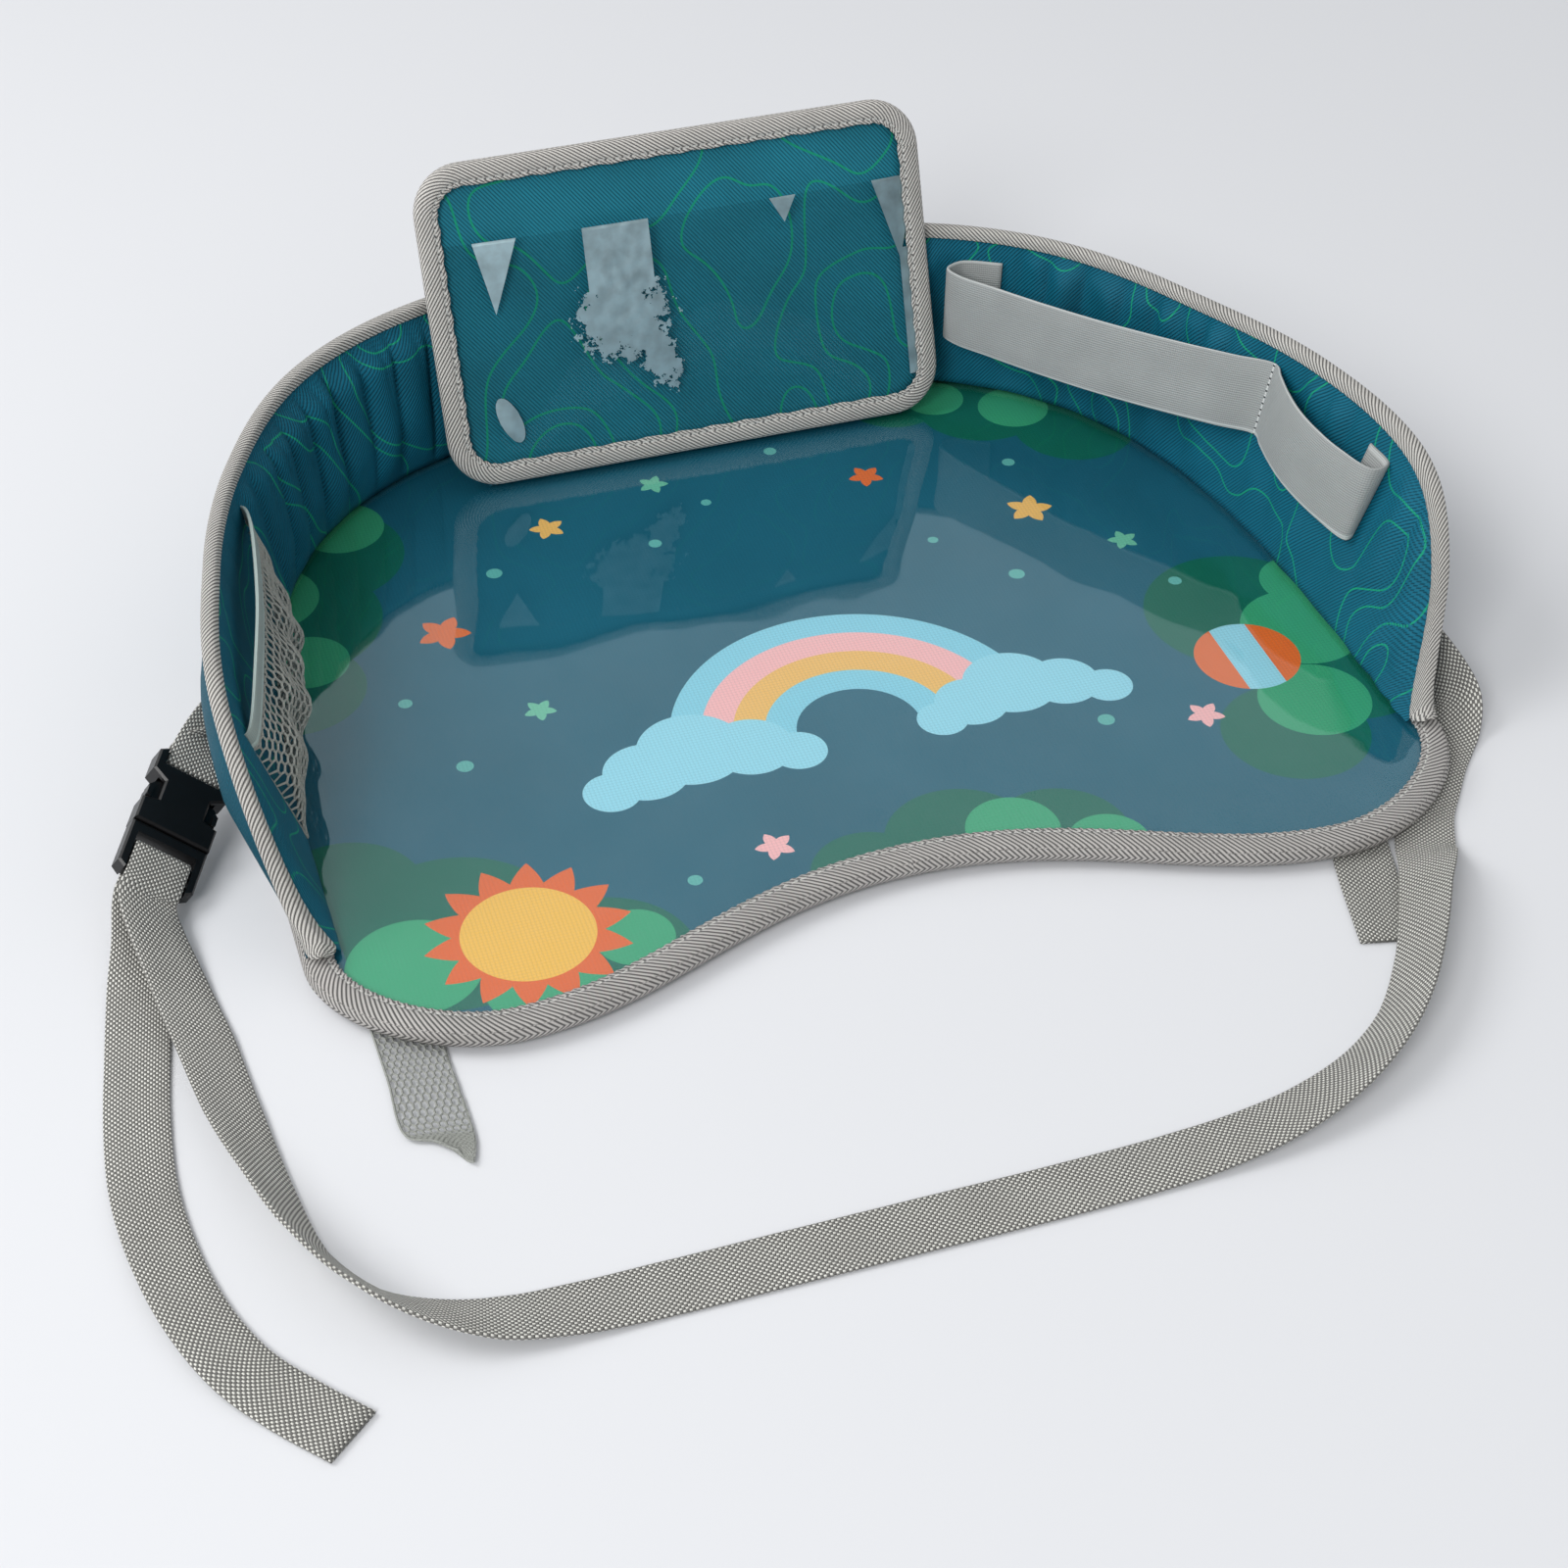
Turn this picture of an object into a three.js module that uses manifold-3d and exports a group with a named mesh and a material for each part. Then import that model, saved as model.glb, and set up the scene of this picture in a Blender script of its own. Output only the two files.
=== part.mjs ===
// Kids travel tray: a stiff printed floor with a soft wall, a folding phone panel, elastic loops,
// mesh pockets and a buckled webbing belt. Millimetres, +X to the tray's right, +Y to its back, +Z up.
// The origin is the middle of the underside, on the surface that the tray stands on.

import * as THREE from "three";
import { mergeVertices } from "three/addons/utils/BufferGeometryUtils.js";
import Module from "manifold-3d";

const wasm = await Module();
wasm.setup();

// Driving dimensions: outline of the floor over its binding
const halfWidth = 199.5;
const bellyY = -136;
const lobeX = 141;
const lobeY = -171;
const sideY = -120;
const backY = 171;
const bellyHandleShare = 0.43;
const lobeInnerHandleShare = 0.36;
const lobeOuterHandleShare = 0.43;
const frontHandleShare = 0.55;
const sideHandleShare = 0.51;
const backHandleShare = 1.03;

// Driving dimensions: layers of the floor, from the table up
const gap = 0.3;
const edgeLift = 2.0;
const bindingThick = 0.9;
const baseFabricThick = 0.7;
const boardThick = 2.5;
const printThick = 0.5;
const filmThick = 0.4;
const floorBindingWidth = 10;
const baseFootInset = 26;
const baseFootSlope = 1.5;
const boardInset = 3;
const floorFoamMargin = 2;
const edgeRound = 0.6;

// Driving dimensions: wall and its rim binding
const rimHeight = 84;
const rimFlare = 15;
const rightFlareShare = 1.15;
const leftFlareShare = 0.75;
const wallFootInner = 12.5;
const wallFootOuter = 1.5;
const wallFabricThick = 0.5;
const wallTopThick = 2.2;
const rimBindingThick = 0.6;
const rimBindingLeg = 5;
const rimCrown = 0.4;
const longestLegShare = 0.6;
const foldDepth = 1.8;

// Driving dimensions: phone panel
const panelWidth = 198;
const panelHeight = 123;
const panelCornerRadius = 19;
const panelX = 4.5;
const panelHingeY = 120.5;
const panelBindingWidth = 10;
const panelFabricThick = 0.8;
const panelBoardThick = 1.4;
const panelFilmHeight = 93;
const panelLayerInset = 3.7;
const panelBoardInset = 2.2;
const panelRestGap = 0.6;
const filmSlack = 6.4;
const slackFullness = 0.7;

// Driving dimensions: elastic, mesh pockets and webbing
const elasticWidth = 29;
const elasticThick = 1.2;
const netThick = 1.0;
const pocketEdgeWidth = 6;
const webbingWidth = 20;
const webbingThick = 1.3;

// Driving dimensions: side-release buckle, along its own length from the loop end
const buckleWidth = 27;
const femaleLength = 31;
const femaleThick = 9;
const maleLength = 18.7;
const maleThick = 7;
const barLength = 2.8;
const slotLength = 4;
const barThick = 3.2;
const slotWidth = 21.2;
const mouthWidth = 21;
const mouthHeight = 4.8;
const cavityDepth = 22.5;
const waistWidth = 16.6;
const waistStart = 12.5;
const waistEnd = 21.8;
const waistSlope = 3;
const prongThick = 2.6;
const prongReach = 12.6;
const prongHeight = 4;
const padHeight = 6.8;
const padThick = 1.6;
const tongueWidth = 4.4;

// Derived heights of the floor's layers
const bindingBottom = edgeLift;
const baseEdgeBottom = bindingBottom + bindingThick + gap;
const baseEdgeTop = baseEdgeBottom + baseFabricThick;
const boardBottom = baseEdgeTop + gap;
const boardTop = boardBottom + boardThick;
const printBottom = boardTop + gap;
const printTop = printBottom + printThick;
const filmBottom = printTop + gap;
const filmTop = filmBottom + filmThick;
const bindingTop = filmTop + gap + bindingThick;
const layerInset = bindingThick + gap;
const wallFoot = bindingTop + gap;

// How finely curves are stepped
const outlineSteps = 96;
const wallSteps = 120;
const leanSteps = 480;

// Materials
const finish = (color, roughness) =>
  new THREE.MeshStandardMaterial({ color, roughness, metalness: 0 });
const tealFabric = 0x14586b;
const greyTwill = 0xb5b3ac;
const greyWebbing = 0x8f8d86;

const tray = new THREE.Group();

// A named sub-part, added to a group with a material of its own
function addPart(name, geometry, color, roughness, parent = tray) {
  const part = new THREE.Mesh(geometry, finish(color, roughness));
  part.name = name;
  parent.add(part);
  return part;
}

// Triangles across a ring that runs out along one side of a strip and back along the other
function ladderTriangles(count) {
  return Array.from({ length: count / 2 - 1 }, (_, i) => {
    const mate = count - 1 - i;
    return [[i, i + 1, mate - 1], [i, mate - 1, mate]];
  }).flat();
}

// Triangles that close one ring of points, wound the way the ring runs
function capTriangles(ring) {
  const normal = new THREE.Vector3();
  ring.forEach((p, i) => {
    const q = ring[(i + 1) % ring.length];
    normal.x += (p.y - q.y) * (p.z + q.z);
    normal.y += (p.z - q.z) * (p.x + q.x);
    normal.z += (p.x - q.x) * (p.y + q.y);
  });
  const along = [Math.abs(normal.x), Math.abs(normal.y), Math.abs(normal.z)];
  const drop = along.indexOf(Math.max(...along));
  const [u, v] = [["y", "z"], ["z", "x"], ["x", "y"]][drop];
  const flat = ring.map((p) => new THREE.Vector2(p[u], p[v]));
  const triangles = THREE.ShapeUtils.triangulateShape(flat, []);
  if (triangles.length < ring.length - 2) return ladderTriangles(ring.length);
  const covered = triangles.reduce((sum, t) => sum + THREE.ShapeUtils.area(t.map((k) => flat[k])), 0);
  const sameTurn = covered * THREE.ShapeUtils.area(flat) > 0;
  return triangles.map(([a, b, c]) => (sameTurn ? [a, b, c] : [a, c, b]));
}

// One closed solid through a row of rings with the same number of points
function solidFromRings(rings, closed = false) {
  const count = rings[0].length;
  const index = [];
  const spans = closed ? rings.length : rings.length - 1;
  for (let i = 0; i < spans; i += 1) {
    const a = i * count;
    const b = ((i + 1) % rings.length) * count;
    for (let j = 0; j < count; j += 1) {
      const k = (j + 1) % count;
      const forwards = rings[i][j].distanceTo(rings[(i + 1) % rings.length][k]);
      const backwards = rings[i][k].distanceTo(rings[(i + 1) % rings.length][j]);
      if (forwards < backwards) index.push(a + j, a + k, b + k, a + j, b + k, b + j);
      else index.push(a + j, a + k, b + j, a + k, b + k, b + j);
    }
  }
  if (!closed) {
    const last = (rings.length - 1) * count;
    capTriangles(rings[0]).forEach(([a, b, c]) => index.push(a, c, b));
    capTriangles(rings.at(-1)).forEach(([a, b, c]) => index.push(last + a, last + b, last + c));
  }
  const points = rings.flat();
  let volume = 0;
  for (let i = 0; i < index.length; i += 3) {
    const [a, b, c] = [points[index[i]], points[index[i + 1]], points[index[i + 2]]];
    volume += a.dot(new THREE.Vector3().crossVectors(b, c));
  }
  if (volume < 0) index.reverse();
  const geometry = new THREE.BufferGeometry().setFromPoints(points);
  geometry.setIndex(index);
  geometry.computeVertexNormals();
  return geometry;
}

// A ribbon of one thickness through stations that give its two edges
function ribbon(stations, thickness) {
  const middles = stations.map(({ low, high }) => low.clone().add(high).multiplyScalar(1 / 2));
  return solidFromRings(
    stations.map(({ low, high }, i) => {
      const before = middles[Math.max(i - 1, 0)];
      const after = middles[Math.min(i + 1, middles.length - 1)];
      const along = after.clone().sub(before);
      const face = along.cross(high.clone().sub(low)).setLength(thickness / 2);
      return [
        low.clone().sub(face),
        high.clone().sub(face),
        high.clone().add(face),
        low.clone().add(face),
      ];
    }),
  );
}

// Boolean joins and cuts
function toManifold(geometry) {
  const bare = geometry.clone();
  bare.deleteAttribute("normal");
  bare.deleteAttribute("uv");
  const merged = mergeVertices(bare);
  return new wasm.Manifold(
    new wasm.Mesh({
      numProp: 3,
      vertProperties: new Float32Array(merged.attributes.position.array),
      triVerts: new Uint32Array(merged.index.array),
    }),
  );
}

function shaped(base, additions, cuts) {
  let body = toManifold(base);
  additions.forEach((g) => {
    body = body.add(toManifold(g));
  });
  cuts.forEach((g) => {
    body = body.subtract(toManifold(g));
  });
  const mesh = body.getMesh();
  const geometry = new THREE.BufferGeometry();
  geometry.setAttribute("position", new THREE.BufferAttribute(mesh.vertProperties, mesh.numProp));
  geometry.setIndex(new THREE.BufferAttribute(mesh.triVerts, 1));
  geometry.computeVertexNormals();
  return geometry;
}

// A box between two x, two y and two z values
function boxBetween([x0, x1], [y0, y1], [z0, z1]) {
  const box = new THREE.BoxGeometry(x1 - x0, y1 - y0, z1 - z0);
  return box.translate((x0 + x1) / 2, (y0 + y1) / 2, (z0 + z1) / 2);
}

// A plate between two heights from a closed outline of 2D points
function plate(points, bottom, top) {
  const settings = { depth: top - bottom, bevelEnabled: false };
  return new THREE.ExtrudeGeometry(new THREE.Shape(points), settings).translate(0, 0, bottom);
}

// Outline of the floor: three curves from the middle of the front to the middle of the back, and their
// mirror
const point2 = (x, y) => new THREE.Vector2(x, y);
const sideStretch = lobeY - sideY;
const rightCurves = [
  [
    point2(0, bellyY),
    point2(bellyHandleShare * lobeX, bellyY),
    point2(lobeX - lobeInnerHandleShare * lobeX, lobeY),
    point2(lobeX, lobeY),
  ],
  [
    point2(lobeX, lobeY),
    point2(lobeX + lobeOuterHandleShare * (halfWidth - lobeX), lobeY),
    point2(halfWidth, sideY + frontHandleShare * sideStretch),
    point2(halfWidth, sideY),
  ],
  [
    point2(halfWidth, sideY),
    point2(halfWidth, sideY + sideHandleShare * (backY - sideY)),
    point2(backHandleShare * halfWidth, backY),
    point2(0, backY),
  ],
];
const mirrored = (curve) => curve.map((p) => point2(-p.x, p.y)).reverse();

function curvePath(curves) {
  const path = new THREE.CurvePath();
  curves.forEach((c) => path.add(new THREE.CubicBezierCurve(...c)));
  return path;
}

const floorPath = curvePath([...rightCurves, ...rightCurves.map(mirrored).reverse()]);
const wallPath = curvePath([rightCurves[2], mirrored(rightCurves[2])]);

// A point on a path, moved outwards by an offset
function besidePath(path, share, offset) {
  const p = path.getPointAt(share);
  const t = path.getTangentAt(share);
  return point2(p.x + t.y * offset, p.y - t.x * offset);
}

function floorRing(inset, z) {
  return Array.from({ length: outlineSteps }, (_, i) => {
    const p = besidePath(floorPath, i / outlineSteps, -inset);
    return new THREE.Vector3(p.x, p.y, z);
  });
}

const floorSlab = (inset, bottom, top) => solidFromRings([floorRing(inset, bottom), floorRing(inset, top)]);

// Floor: underside fabric, a shallow dish whose middle stands on the table
const baseFabric = solidFromRings([
  floorRing(baseFootInset + baseFootSlope, 0),
  floorRing(baseFootInset, baseEdgeBottom),
  floorRing(layerInset, baseEdgeBottom),
  floorRing(layerInset, baseEdgeTop),
  floorRing(baseFootInset + baseFabricThick, baseEdgeTop),
  floorRing(baseFootInset + baseFootSlope + baseFabricThick, baseFabricThick),
]);
addPart("base_fabric", baseFabric, tealFabric, 0.9);

// Floor: foam in the dish, board, printed fabric and clear film
const floorFoamInset = baseFootInset + baseFootSlope + baseFabricThick + floorFoamMargin;
addPart("floor_foam", floorSlab(floorFoamInset, baseFabricThick + gap, baseEdgeTop), 0xd8d8d0, 0.95);
addPart("floor_board", floorSlab(boardInset, boardBottom, boardTop), 0x303234, 0.6);
addPart("floor_print_fabric", floorSlab(layerInset, printBottom, printTop), 0x1a5c6e, 0.8);
addPart("floor_clear_film", floorSlab(layerInset, filmBottom, filmTop), 0x3a7080, 0.08);

// Floor: folded binding round the edge of all the layers
const bindingSection = [
  [edgeRound, bindingBottom],
  [0, bindingBottom + edgeRound],
  [0, bindingTop - edgeRound],
  [edgeRound, bindingTop],
  [floorBindingWidth, bindingTop],
  [floorBindingWidth, bindingTop - bindingThick],
  [bindingThick, bindingTop - bindingThick],
  [bindingThick, bindingBottom + bindingThick],
  [floorBindingWidth, bindingBottom + bindingThick],
  [floorBindingWidth, bindingBottom],
];
const bindingRings = bindingSection.map(([inset, z]) => floorRing(inset, z));
const acrossBinding = Array.from({ length: outlineSteps }, (_, i) => bindingRings.map((ring) => ring[i]));
addPart("floor_binding", solidFromRings(acrossBinding, true), greyTwill, 0.85);

// Wall: height and flare of the rim as shares, from the front end of the wall to the middle of the back
const rimShares = [
  [0, 0.08, -0.25],
  [0.03, 0.21, 0.2],
  [0.07, 0.56, 0.73],
  [0.12, 0.83, 1],
  [0.18, 0.95, 0.93],
  [0.28, 1, 0.47],
  [0.45, 0.93, -0.07],
  [0.6, 0.9, -0.13],
  [1, 0.86, -0.13],
];

// A smooth value from a table, at a share along it
function fromTable(table, share, column) {
  const last = table.length - 1;
  const i = Math.min(Math.max(table.findIndex((row) => row[0] > share) - 1, 0), last - 1);
  const at = share >= table[last][0] ? last - 1 : i;
  const slope = (k) => {
    const a = table[Math.max(k - 1, 0)];
    const b = table[Math.min(k + 1, last)];
    return (b[column] - a[column]) / (b[0] - a[0]);
  };
  const [row, next] = [table[at], table[at + 1]];
  const span = next[0] - row[0];
  const t = (share - row[0]) / span;
  const [t2, t3] = [t * t, t * t * t];
  return (
    (2 * t3 - 3 * t2 + 1) * row[column] +
    (t3 - 2 * t2 + t) * span * slope(at) +
    (3 * t2 - 2 * t3) * next[column] +
    (t3 - t2) * span * slope(at + 1)
  );
}

// The share along the wall path runs from the right front end, over 1/2 at the back, to the left front end
const nearness = (share) => 1 - Math.abs(2 * share - 1);
const rightSide = (near) => near / 2;
const leftSide = (near) => 1 - near / 2;

function rimAt(share) {
  const near = nearness(share);
  const flareShare = fromTable(rimShares, near, 2);
  const sideShare = share < 1 / 2 ? rightFlareShare : leftFlareShare;
  return {
    top: wallFoot + (rimHeight - wallFoot) * fromTable(rimShares, near, 1),
    flare: rimFlare * flareShare * (flareShare > 0 ? sideShare : 1),
  };
}

// A point in the wall: up is a share of its height. Depth is measured from its inner face, or from its
// outer face if it is negative.
function inWall(share, up, depth) {
  const { top, flare } = rimAt(share);
  const clear = rimBindingThick + gap;
  const outer = THREE.MathUtils.lerp(-wallFootOuter, flare - clear, up);
  const inner = THREE.MathUtils.lerp(-wallFootInner, flare - clear - wallTopThick, up);
  const p = besidePath(wallPath, share, depth < 0 ? outer + depth : inner + depth);
  return new THREE.Vector3(p.x, p.y, THREE.MathUtils.lerp(wallFoot, top - clear, up));
}

const wallRise = (share) => rimAt(share).top - rimBindingThick - gap - wallFoot;
const evenShares = (steps) => Array.from({ length: steps + 1 }, (_, i) => i / steps);
const foldTopShare = 0.84;
const upShares = [0, foldTopShare / 2, foldTopShare, 1];

// Wall: soft vertical folds of the inner fabric, in stretches clear of what is sewn on it
const foldZoneShares = [
  { side: leftSide, from: 0.45, to: 0.82, folds: 7, depthShare: 1 },
  { side: rightSide, from: 0.34, to: 0.62, folds: 5, depthShare: 0.6 },
  { side: rightSide, from: 0.72, to: 0.88, folds: 3, depthShare: 0.6 },
];

function foldAt(share, up) {
  const zone = foldZoneShares.find(({ side, from, to }) => {
    const near = nearness(share);
    return side(near) === share && near > from && near < to;
  });
  if (!zone) return 0;
  const t = (nearness(share) - zone.from) / (zone.to - zone.from);
  const wave = Math.sin(Math.PI * zone.folds * t) ** 2 * Math.sin(Math.PI * t);
  const rise = Math.sin((Math.PI * Math.min(up, foldTopShare)) / foldTopShare);
  return foldDepth * zone.depthShare * wave * rise;
}

function innerFace(share, up) {
  const face = inWall(share, up, 0);
  const back = inWall(share, up, wallFabricThick);
  return face.clone().add(face.sub(back).setLength(foldAt(share, up)));
}

const innerFabric = evenShares(wallSteps).map((share) => [
  ...upShares.map((up) => innerFace(share, up)),
  ...upShares.toReversed().map((up) => inWall(share, up, wallFabricThick)),
]);
addPart("wall_inner_fabric", solidFromRings(innerFabric), tealFabric, 0.8);

// Wall: foam between the fabrics, and the outer fabric
const wallFoam = evenShares(wallSteps).map((share) => [
  ...upShares.map((up) => inWall(share, up, wallFabricThick + gap)),
  ...upShares.toReversed().map((up) => inWall(share, up, -(wallFabricThick + gap))),
]);
addPart("wall_foam", solidFromRings(wallFoam), 0xe4e4dc, 0.95);

const outerFabric = evenShares(wallSteps).map((share) => [
  ...upShares.map((up) => inWall(share, up, -wallFabricThick)),
  ...upShares.toReversed().map((up) => inWall(share, up, -Number.EPSILON)),
]);
addPart("wall_outer_fabric", solidFromRings(outerFabric), tealFabric, 0.8);

// Wall: binding folded over the rim, its legs shorter where the wall runs out
function beyondWall(share, up, out) {
  const inner = inWall(share, up, 0);
  const outer = inWall(share, up, -Number.EPSILON);
  const across = outer.clone().sub(inner).normalize();
  return out < 0 ? inner.addScaledVector(across, out) : outer.addScaledVector(across, out);
}

const rimBinding = evenShares(wallSteps).map((share) => {
  const rise = wallRise(share);
  const legUp = 1 - Math.min(rimBindingLeg / rise, longestLegShare);
  const [near, far] = [2 * gap, 2 * gap + rimBindingThick];
  const { top } = rimAt(share);
  const atTop = (p, drop) => p.setZ(top - drop);
  const crown = beyondWall(share, 1, far).add(beyondWall(share, 1, -far)).multiplyScalar(1 / 2);
  return [
    beyondWall(share, legUp, far),
    atTop(beyondWall(share, 1, far), rimCrown),
    atTop(crown, 0),
    atTop(beyondWall(share, 1, -far), rimCrown),
    beyondWall(share, legUp, -far),
    beyondWall(share, legUp, -near),
    atTop(beyondWall(share, 1, -near), rimBindingThick),
    atTop(beyondWall(share, 1, near), rimBindingThick),
    beyondWall(share, legUp, near),
  ];
});
addPart("rim_binding", solidFromRings(rimBinding), greyTwill, 0.85);

// Phone panel: layers measured from the hinge axis, which runs in the middle of the binding's lower edge
const panelThick = 2 * bindingThick + 2 * panelFabricThick + panelBoardThick + filmThick + 5 * gap;
const panelRadius = panelThick / 2;
const panelHingeZ = filmTop + gap + panelFabricThick + gap + panelRadius;
const frontLegBack = -panelRadius + bindingThick;
const panelFilmFront = frontLegBack + gap;
const panelFrontFront = panelFilmFront + filmThick + gap;
const panelBoardFront = panelFrontFront + panelFabricThick + gap;
const panelBackFront = panelBoardFront + panelBoardThick + gap;

// The panel leans back until its back face meets the rim
function panelLean() {
  const reach = panelWidth / 2;
  const touches = evenShares(leanSteps)
    .map((share) => {
      const p = beyondWall(share, 1, -(gap + rimBindingThick));
      return p.setZ(rimAt(share).top - rimCrown);
    })
    .filter((p) => p.y > panelHingeY && Math.abs(p.x - panelX) < reach);
  const leans = touches.map((p) => {
    const y = p.y - panelHingeY;
    const z = p.z - panelHingeZ;
    return Math.acos((panelRadius + panelRestGap) / Math.hypot(y, z)) - Math.atan2(z, y);
  });
  return Math.min(...leans);
}

const panel = new THREE.Group();
panel.position.set(panelX, panelHingeY, panelHingeZ);
panel.rotation.x = -panelLean();
tray.add(panel);

// A rounded outline of the panel, with the hinge axis at height zero
const cornerSteps = 6;
const cornerTurns = [0, 1 / 4, 1 / 2, 3 / 4];
function panelOutline(inset) {
  const radius = panelCornerRadius - inset;
  const [reachX, reachZ] = [panelWidth / 2 - panelCornerRadius, panelHeight / 2 - panelCornerRadius];
  const middleZ = panelHeight / 2 - panelRadius;
  return cornerTurns.flatMap((turn) => {
    const start = 2 * Math.PI * turn;
    const signX = Math.SQRT2 * Math.cos(start + Math.PI / 4);
    const signZ = Math.SQRT2 * Math.sin(start + Math.PI / 4);
    return evenShares(cornerSteps).map((t) => {
      const angle = start + (Math.PI / 2) * t;
      return point2(
        signX * reachX + radius * Math.cos(angle),
        middleZ + signZ * reachZ + radius * Math.sin(angle),
      );
    });
  });
}

function panelLayer(inset, front, thickness) {
  const layer = plate(panelOutline(inset), 0, thickness);
  return layer.rotateX(Math.PI / 2).translate(0, front + thickness, 0);
}

const panelFront = panelLayer(panelLayerInset, panelFrontFront, panelFabricThick);
const panelBack = panelLayer(panelLayerInset, panelBackFront, panelFabricThick);
addPart("panel_front_fabric", panelFront, tealFabric, 0.8, panel);
addPart("panel_board", panelLayer(panelBoardInset, panelBoardFront, panelBoardThick), 0x2c2e30, 0.6, panel);
addPart("panel_back_fabric", panelBack, tealFabric, 0.8, panel);

// Phone panel: binding folded round the edge of the layers
const roundAngles = [-Math.PI / 2, -Math.PI / 4, 0, Math.PI / 4, Math.PI / 2];
const roundedSide = (radius) =>
  roundAngles.map((a) => [panelRadius - radius * Math.cos(a), radius * Math.sin(a)]);
const panelBindingInner = panelRadius - bindingThick;
const panelBindingSection = [
  [panelBindingWidth, -panelRadius],
  ...roundedSide(panelRadius),
  [panelBindingWidth, panelRadius],
  [panelBindingWidth, panelBindingInner],
  ...roundedSide(panelBindingInner).toReversed(),
  [panelBindingWidth, -panelBindingInner],
];
const panelRings = panelBindingSection.map(([inset, y]) =>
  panelOutline(inset).map((p) => new THREE.Vector3(p.x, y, p.y)),
);
const acrossPanel = panelRings[0].map((_, i) => panelRings.map((ring) => ring[i]));
addPart("panel_binding", solidFromRings(acrossPanel, true), greyTwill, 0.85, panel);

// Phone panel: clear window, sewn under the binding on three sides and slack along its open top edge
const windowSteps = 18;
const windowRows = 6;
const windowHalf = panelWidth / 2 - panelLayerInset;
const slackHalf = panelWidth / 2 - panelBindingWidth - gap;
const windowLow = panelLayerInset - panelRadius;
const windowHigh = panelFilmHeight - panelRadius;
const slackLow = panelBindingWidth + gap - panelRadius;

function slackAt(x, z) {
  const across = Math.max(Math.cos((Math.PI / 2) * Math.min(Math.abs(x) / slackHalf, 1)), 0);
  const rise = THREE.MathUtils.clamp((z - slackLow) / (windowHigh - slackLow), 0, 1);
  return filmSlack * across ** slackFullness * Math.sin((Math.PI / 2) * rise);
}

// Corners of the window follow the round corners of the panel
function windowReach(z) {
  const radius = panelCornerRadius - panelLayerInset;
  const below = Math.max(windowLow + radius - z, 0);
  return windowHalf - radius + Math.sqrt(Math.max(radius * radius - below * below, 0));
}

const windowLevels = [
  windowLow,
  (windowLow + slackLow) / 2,
  ...evenShares(windowRows).map((t) => THREE.MathUtils.lerp(slackLow, windowHigh, t)),
];
const windowFilm = windowLevels.map((z) => {
  const reach = windowReach(z);
  const slackReach = Math.min(slackHalf, reach - panelLayerInset / 2);
  const xs = [-reach, ...evenShares(windowSteps).map((s) => slackReach * (2 * s - 1)), reach];
  return [
    ...xs.map((x) => new THREE.Vector3(x, panelFilmFront - slackAt(x, z), z)),
    ...xs.toReversed().map((x) => new THREE.Vector3(x, panelFilmFront - slackAt(x, z) + filmThick, z)),
  ];
});
addPart("panel_window_film", solidFromRings(windowFilm), 0x9fb9bf, 0.06, panel);

// Hinge strip: fabric on the floor, from the foot of the wall to the foot of the panel
const flapEndMargin = 14;
const flapReach = panelWidth / 2 - flapEndMargin;
const flapBack = evenShares(wallSteps)
  .map((share) => besidePath(wallPath, share, -wallFootInner - gap))
  .filter((p) => p.y > panelHingeY && Math.abs(p.x - panelX) <= flapReach);
const flapShape = [
  point2(flapBack.at(-1).x, panelHingeY),
  point2(flapBack[0].x, panelHingeY),
  ...flapBack,
];
const hingeStrip = plate(flapShape, filmTop + gap, filmTop + gap + panelFabricThick);
addPart("panel_hinge_strip", hingeStrip, tealFabric, 0.85);

// Elastic on the right wall: places along the wall and up it, as shares
const elasticBackTuckShare = 0.66;
const elasticBackFoldShare = 0.7;
const elasticStitchShare = 0.325;
const elasticFrontFoldShare = 0.165;
const elasticFrontTuckShare = 0.195;
const elasticBackTurnShare = 0.685;
const elasticBackSewnShare = 0.692;
const elasticFrontSewnShare = 0.169;
const longLoopShares = [0.12, 0.3, 0.5, 0.7, 0.88];
const shortLoopShares = [0.12, 0.28, 0.45, 0.62, 0.8];
const elasticUpShares = [
  [0, 0.64],
  [elasticFrontFoldShare, 0.64],
  [elasticStitchShare, 0.68],
  [elasticBackFoldShare, 0.6],
  [1, 0.6],
];
const elasticStandOff = 2 * gap + elasticThick / 2;
const elasticTuckStandOff = elasticStandOff + elasticThick + 2 * gap;
const shortLoopBow = 8;
const longLoopBow = 4;

function elasticStation(near, standOff) {
  const share = rightSide(near);
  const middle = fromTable(elasticUpShares, near, 1);
  const half = elasticWidth / 2 / wallRise(share);
  return {
    low: beyondWall(share, middle - half, -standOff),
    high: beyondWall(share, middle + half, -standOff),
  };
}

// A station of the long loop, which hangs across the corner and bows away from the wall
function acrossCorner(a, b, t) {
  const chord = b.low.clone().sub(a.low);
  const bow = new THREE.Vector3(chord.y, -chord.x, 0).setLength(longLoopBow * Math.sin(Math.PI * t));
  return { low: a.low.clone().lerp(b.low, t).add(bow), high: a.high.clone().lerp(b.high, t).add(bow) };
}

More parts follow.
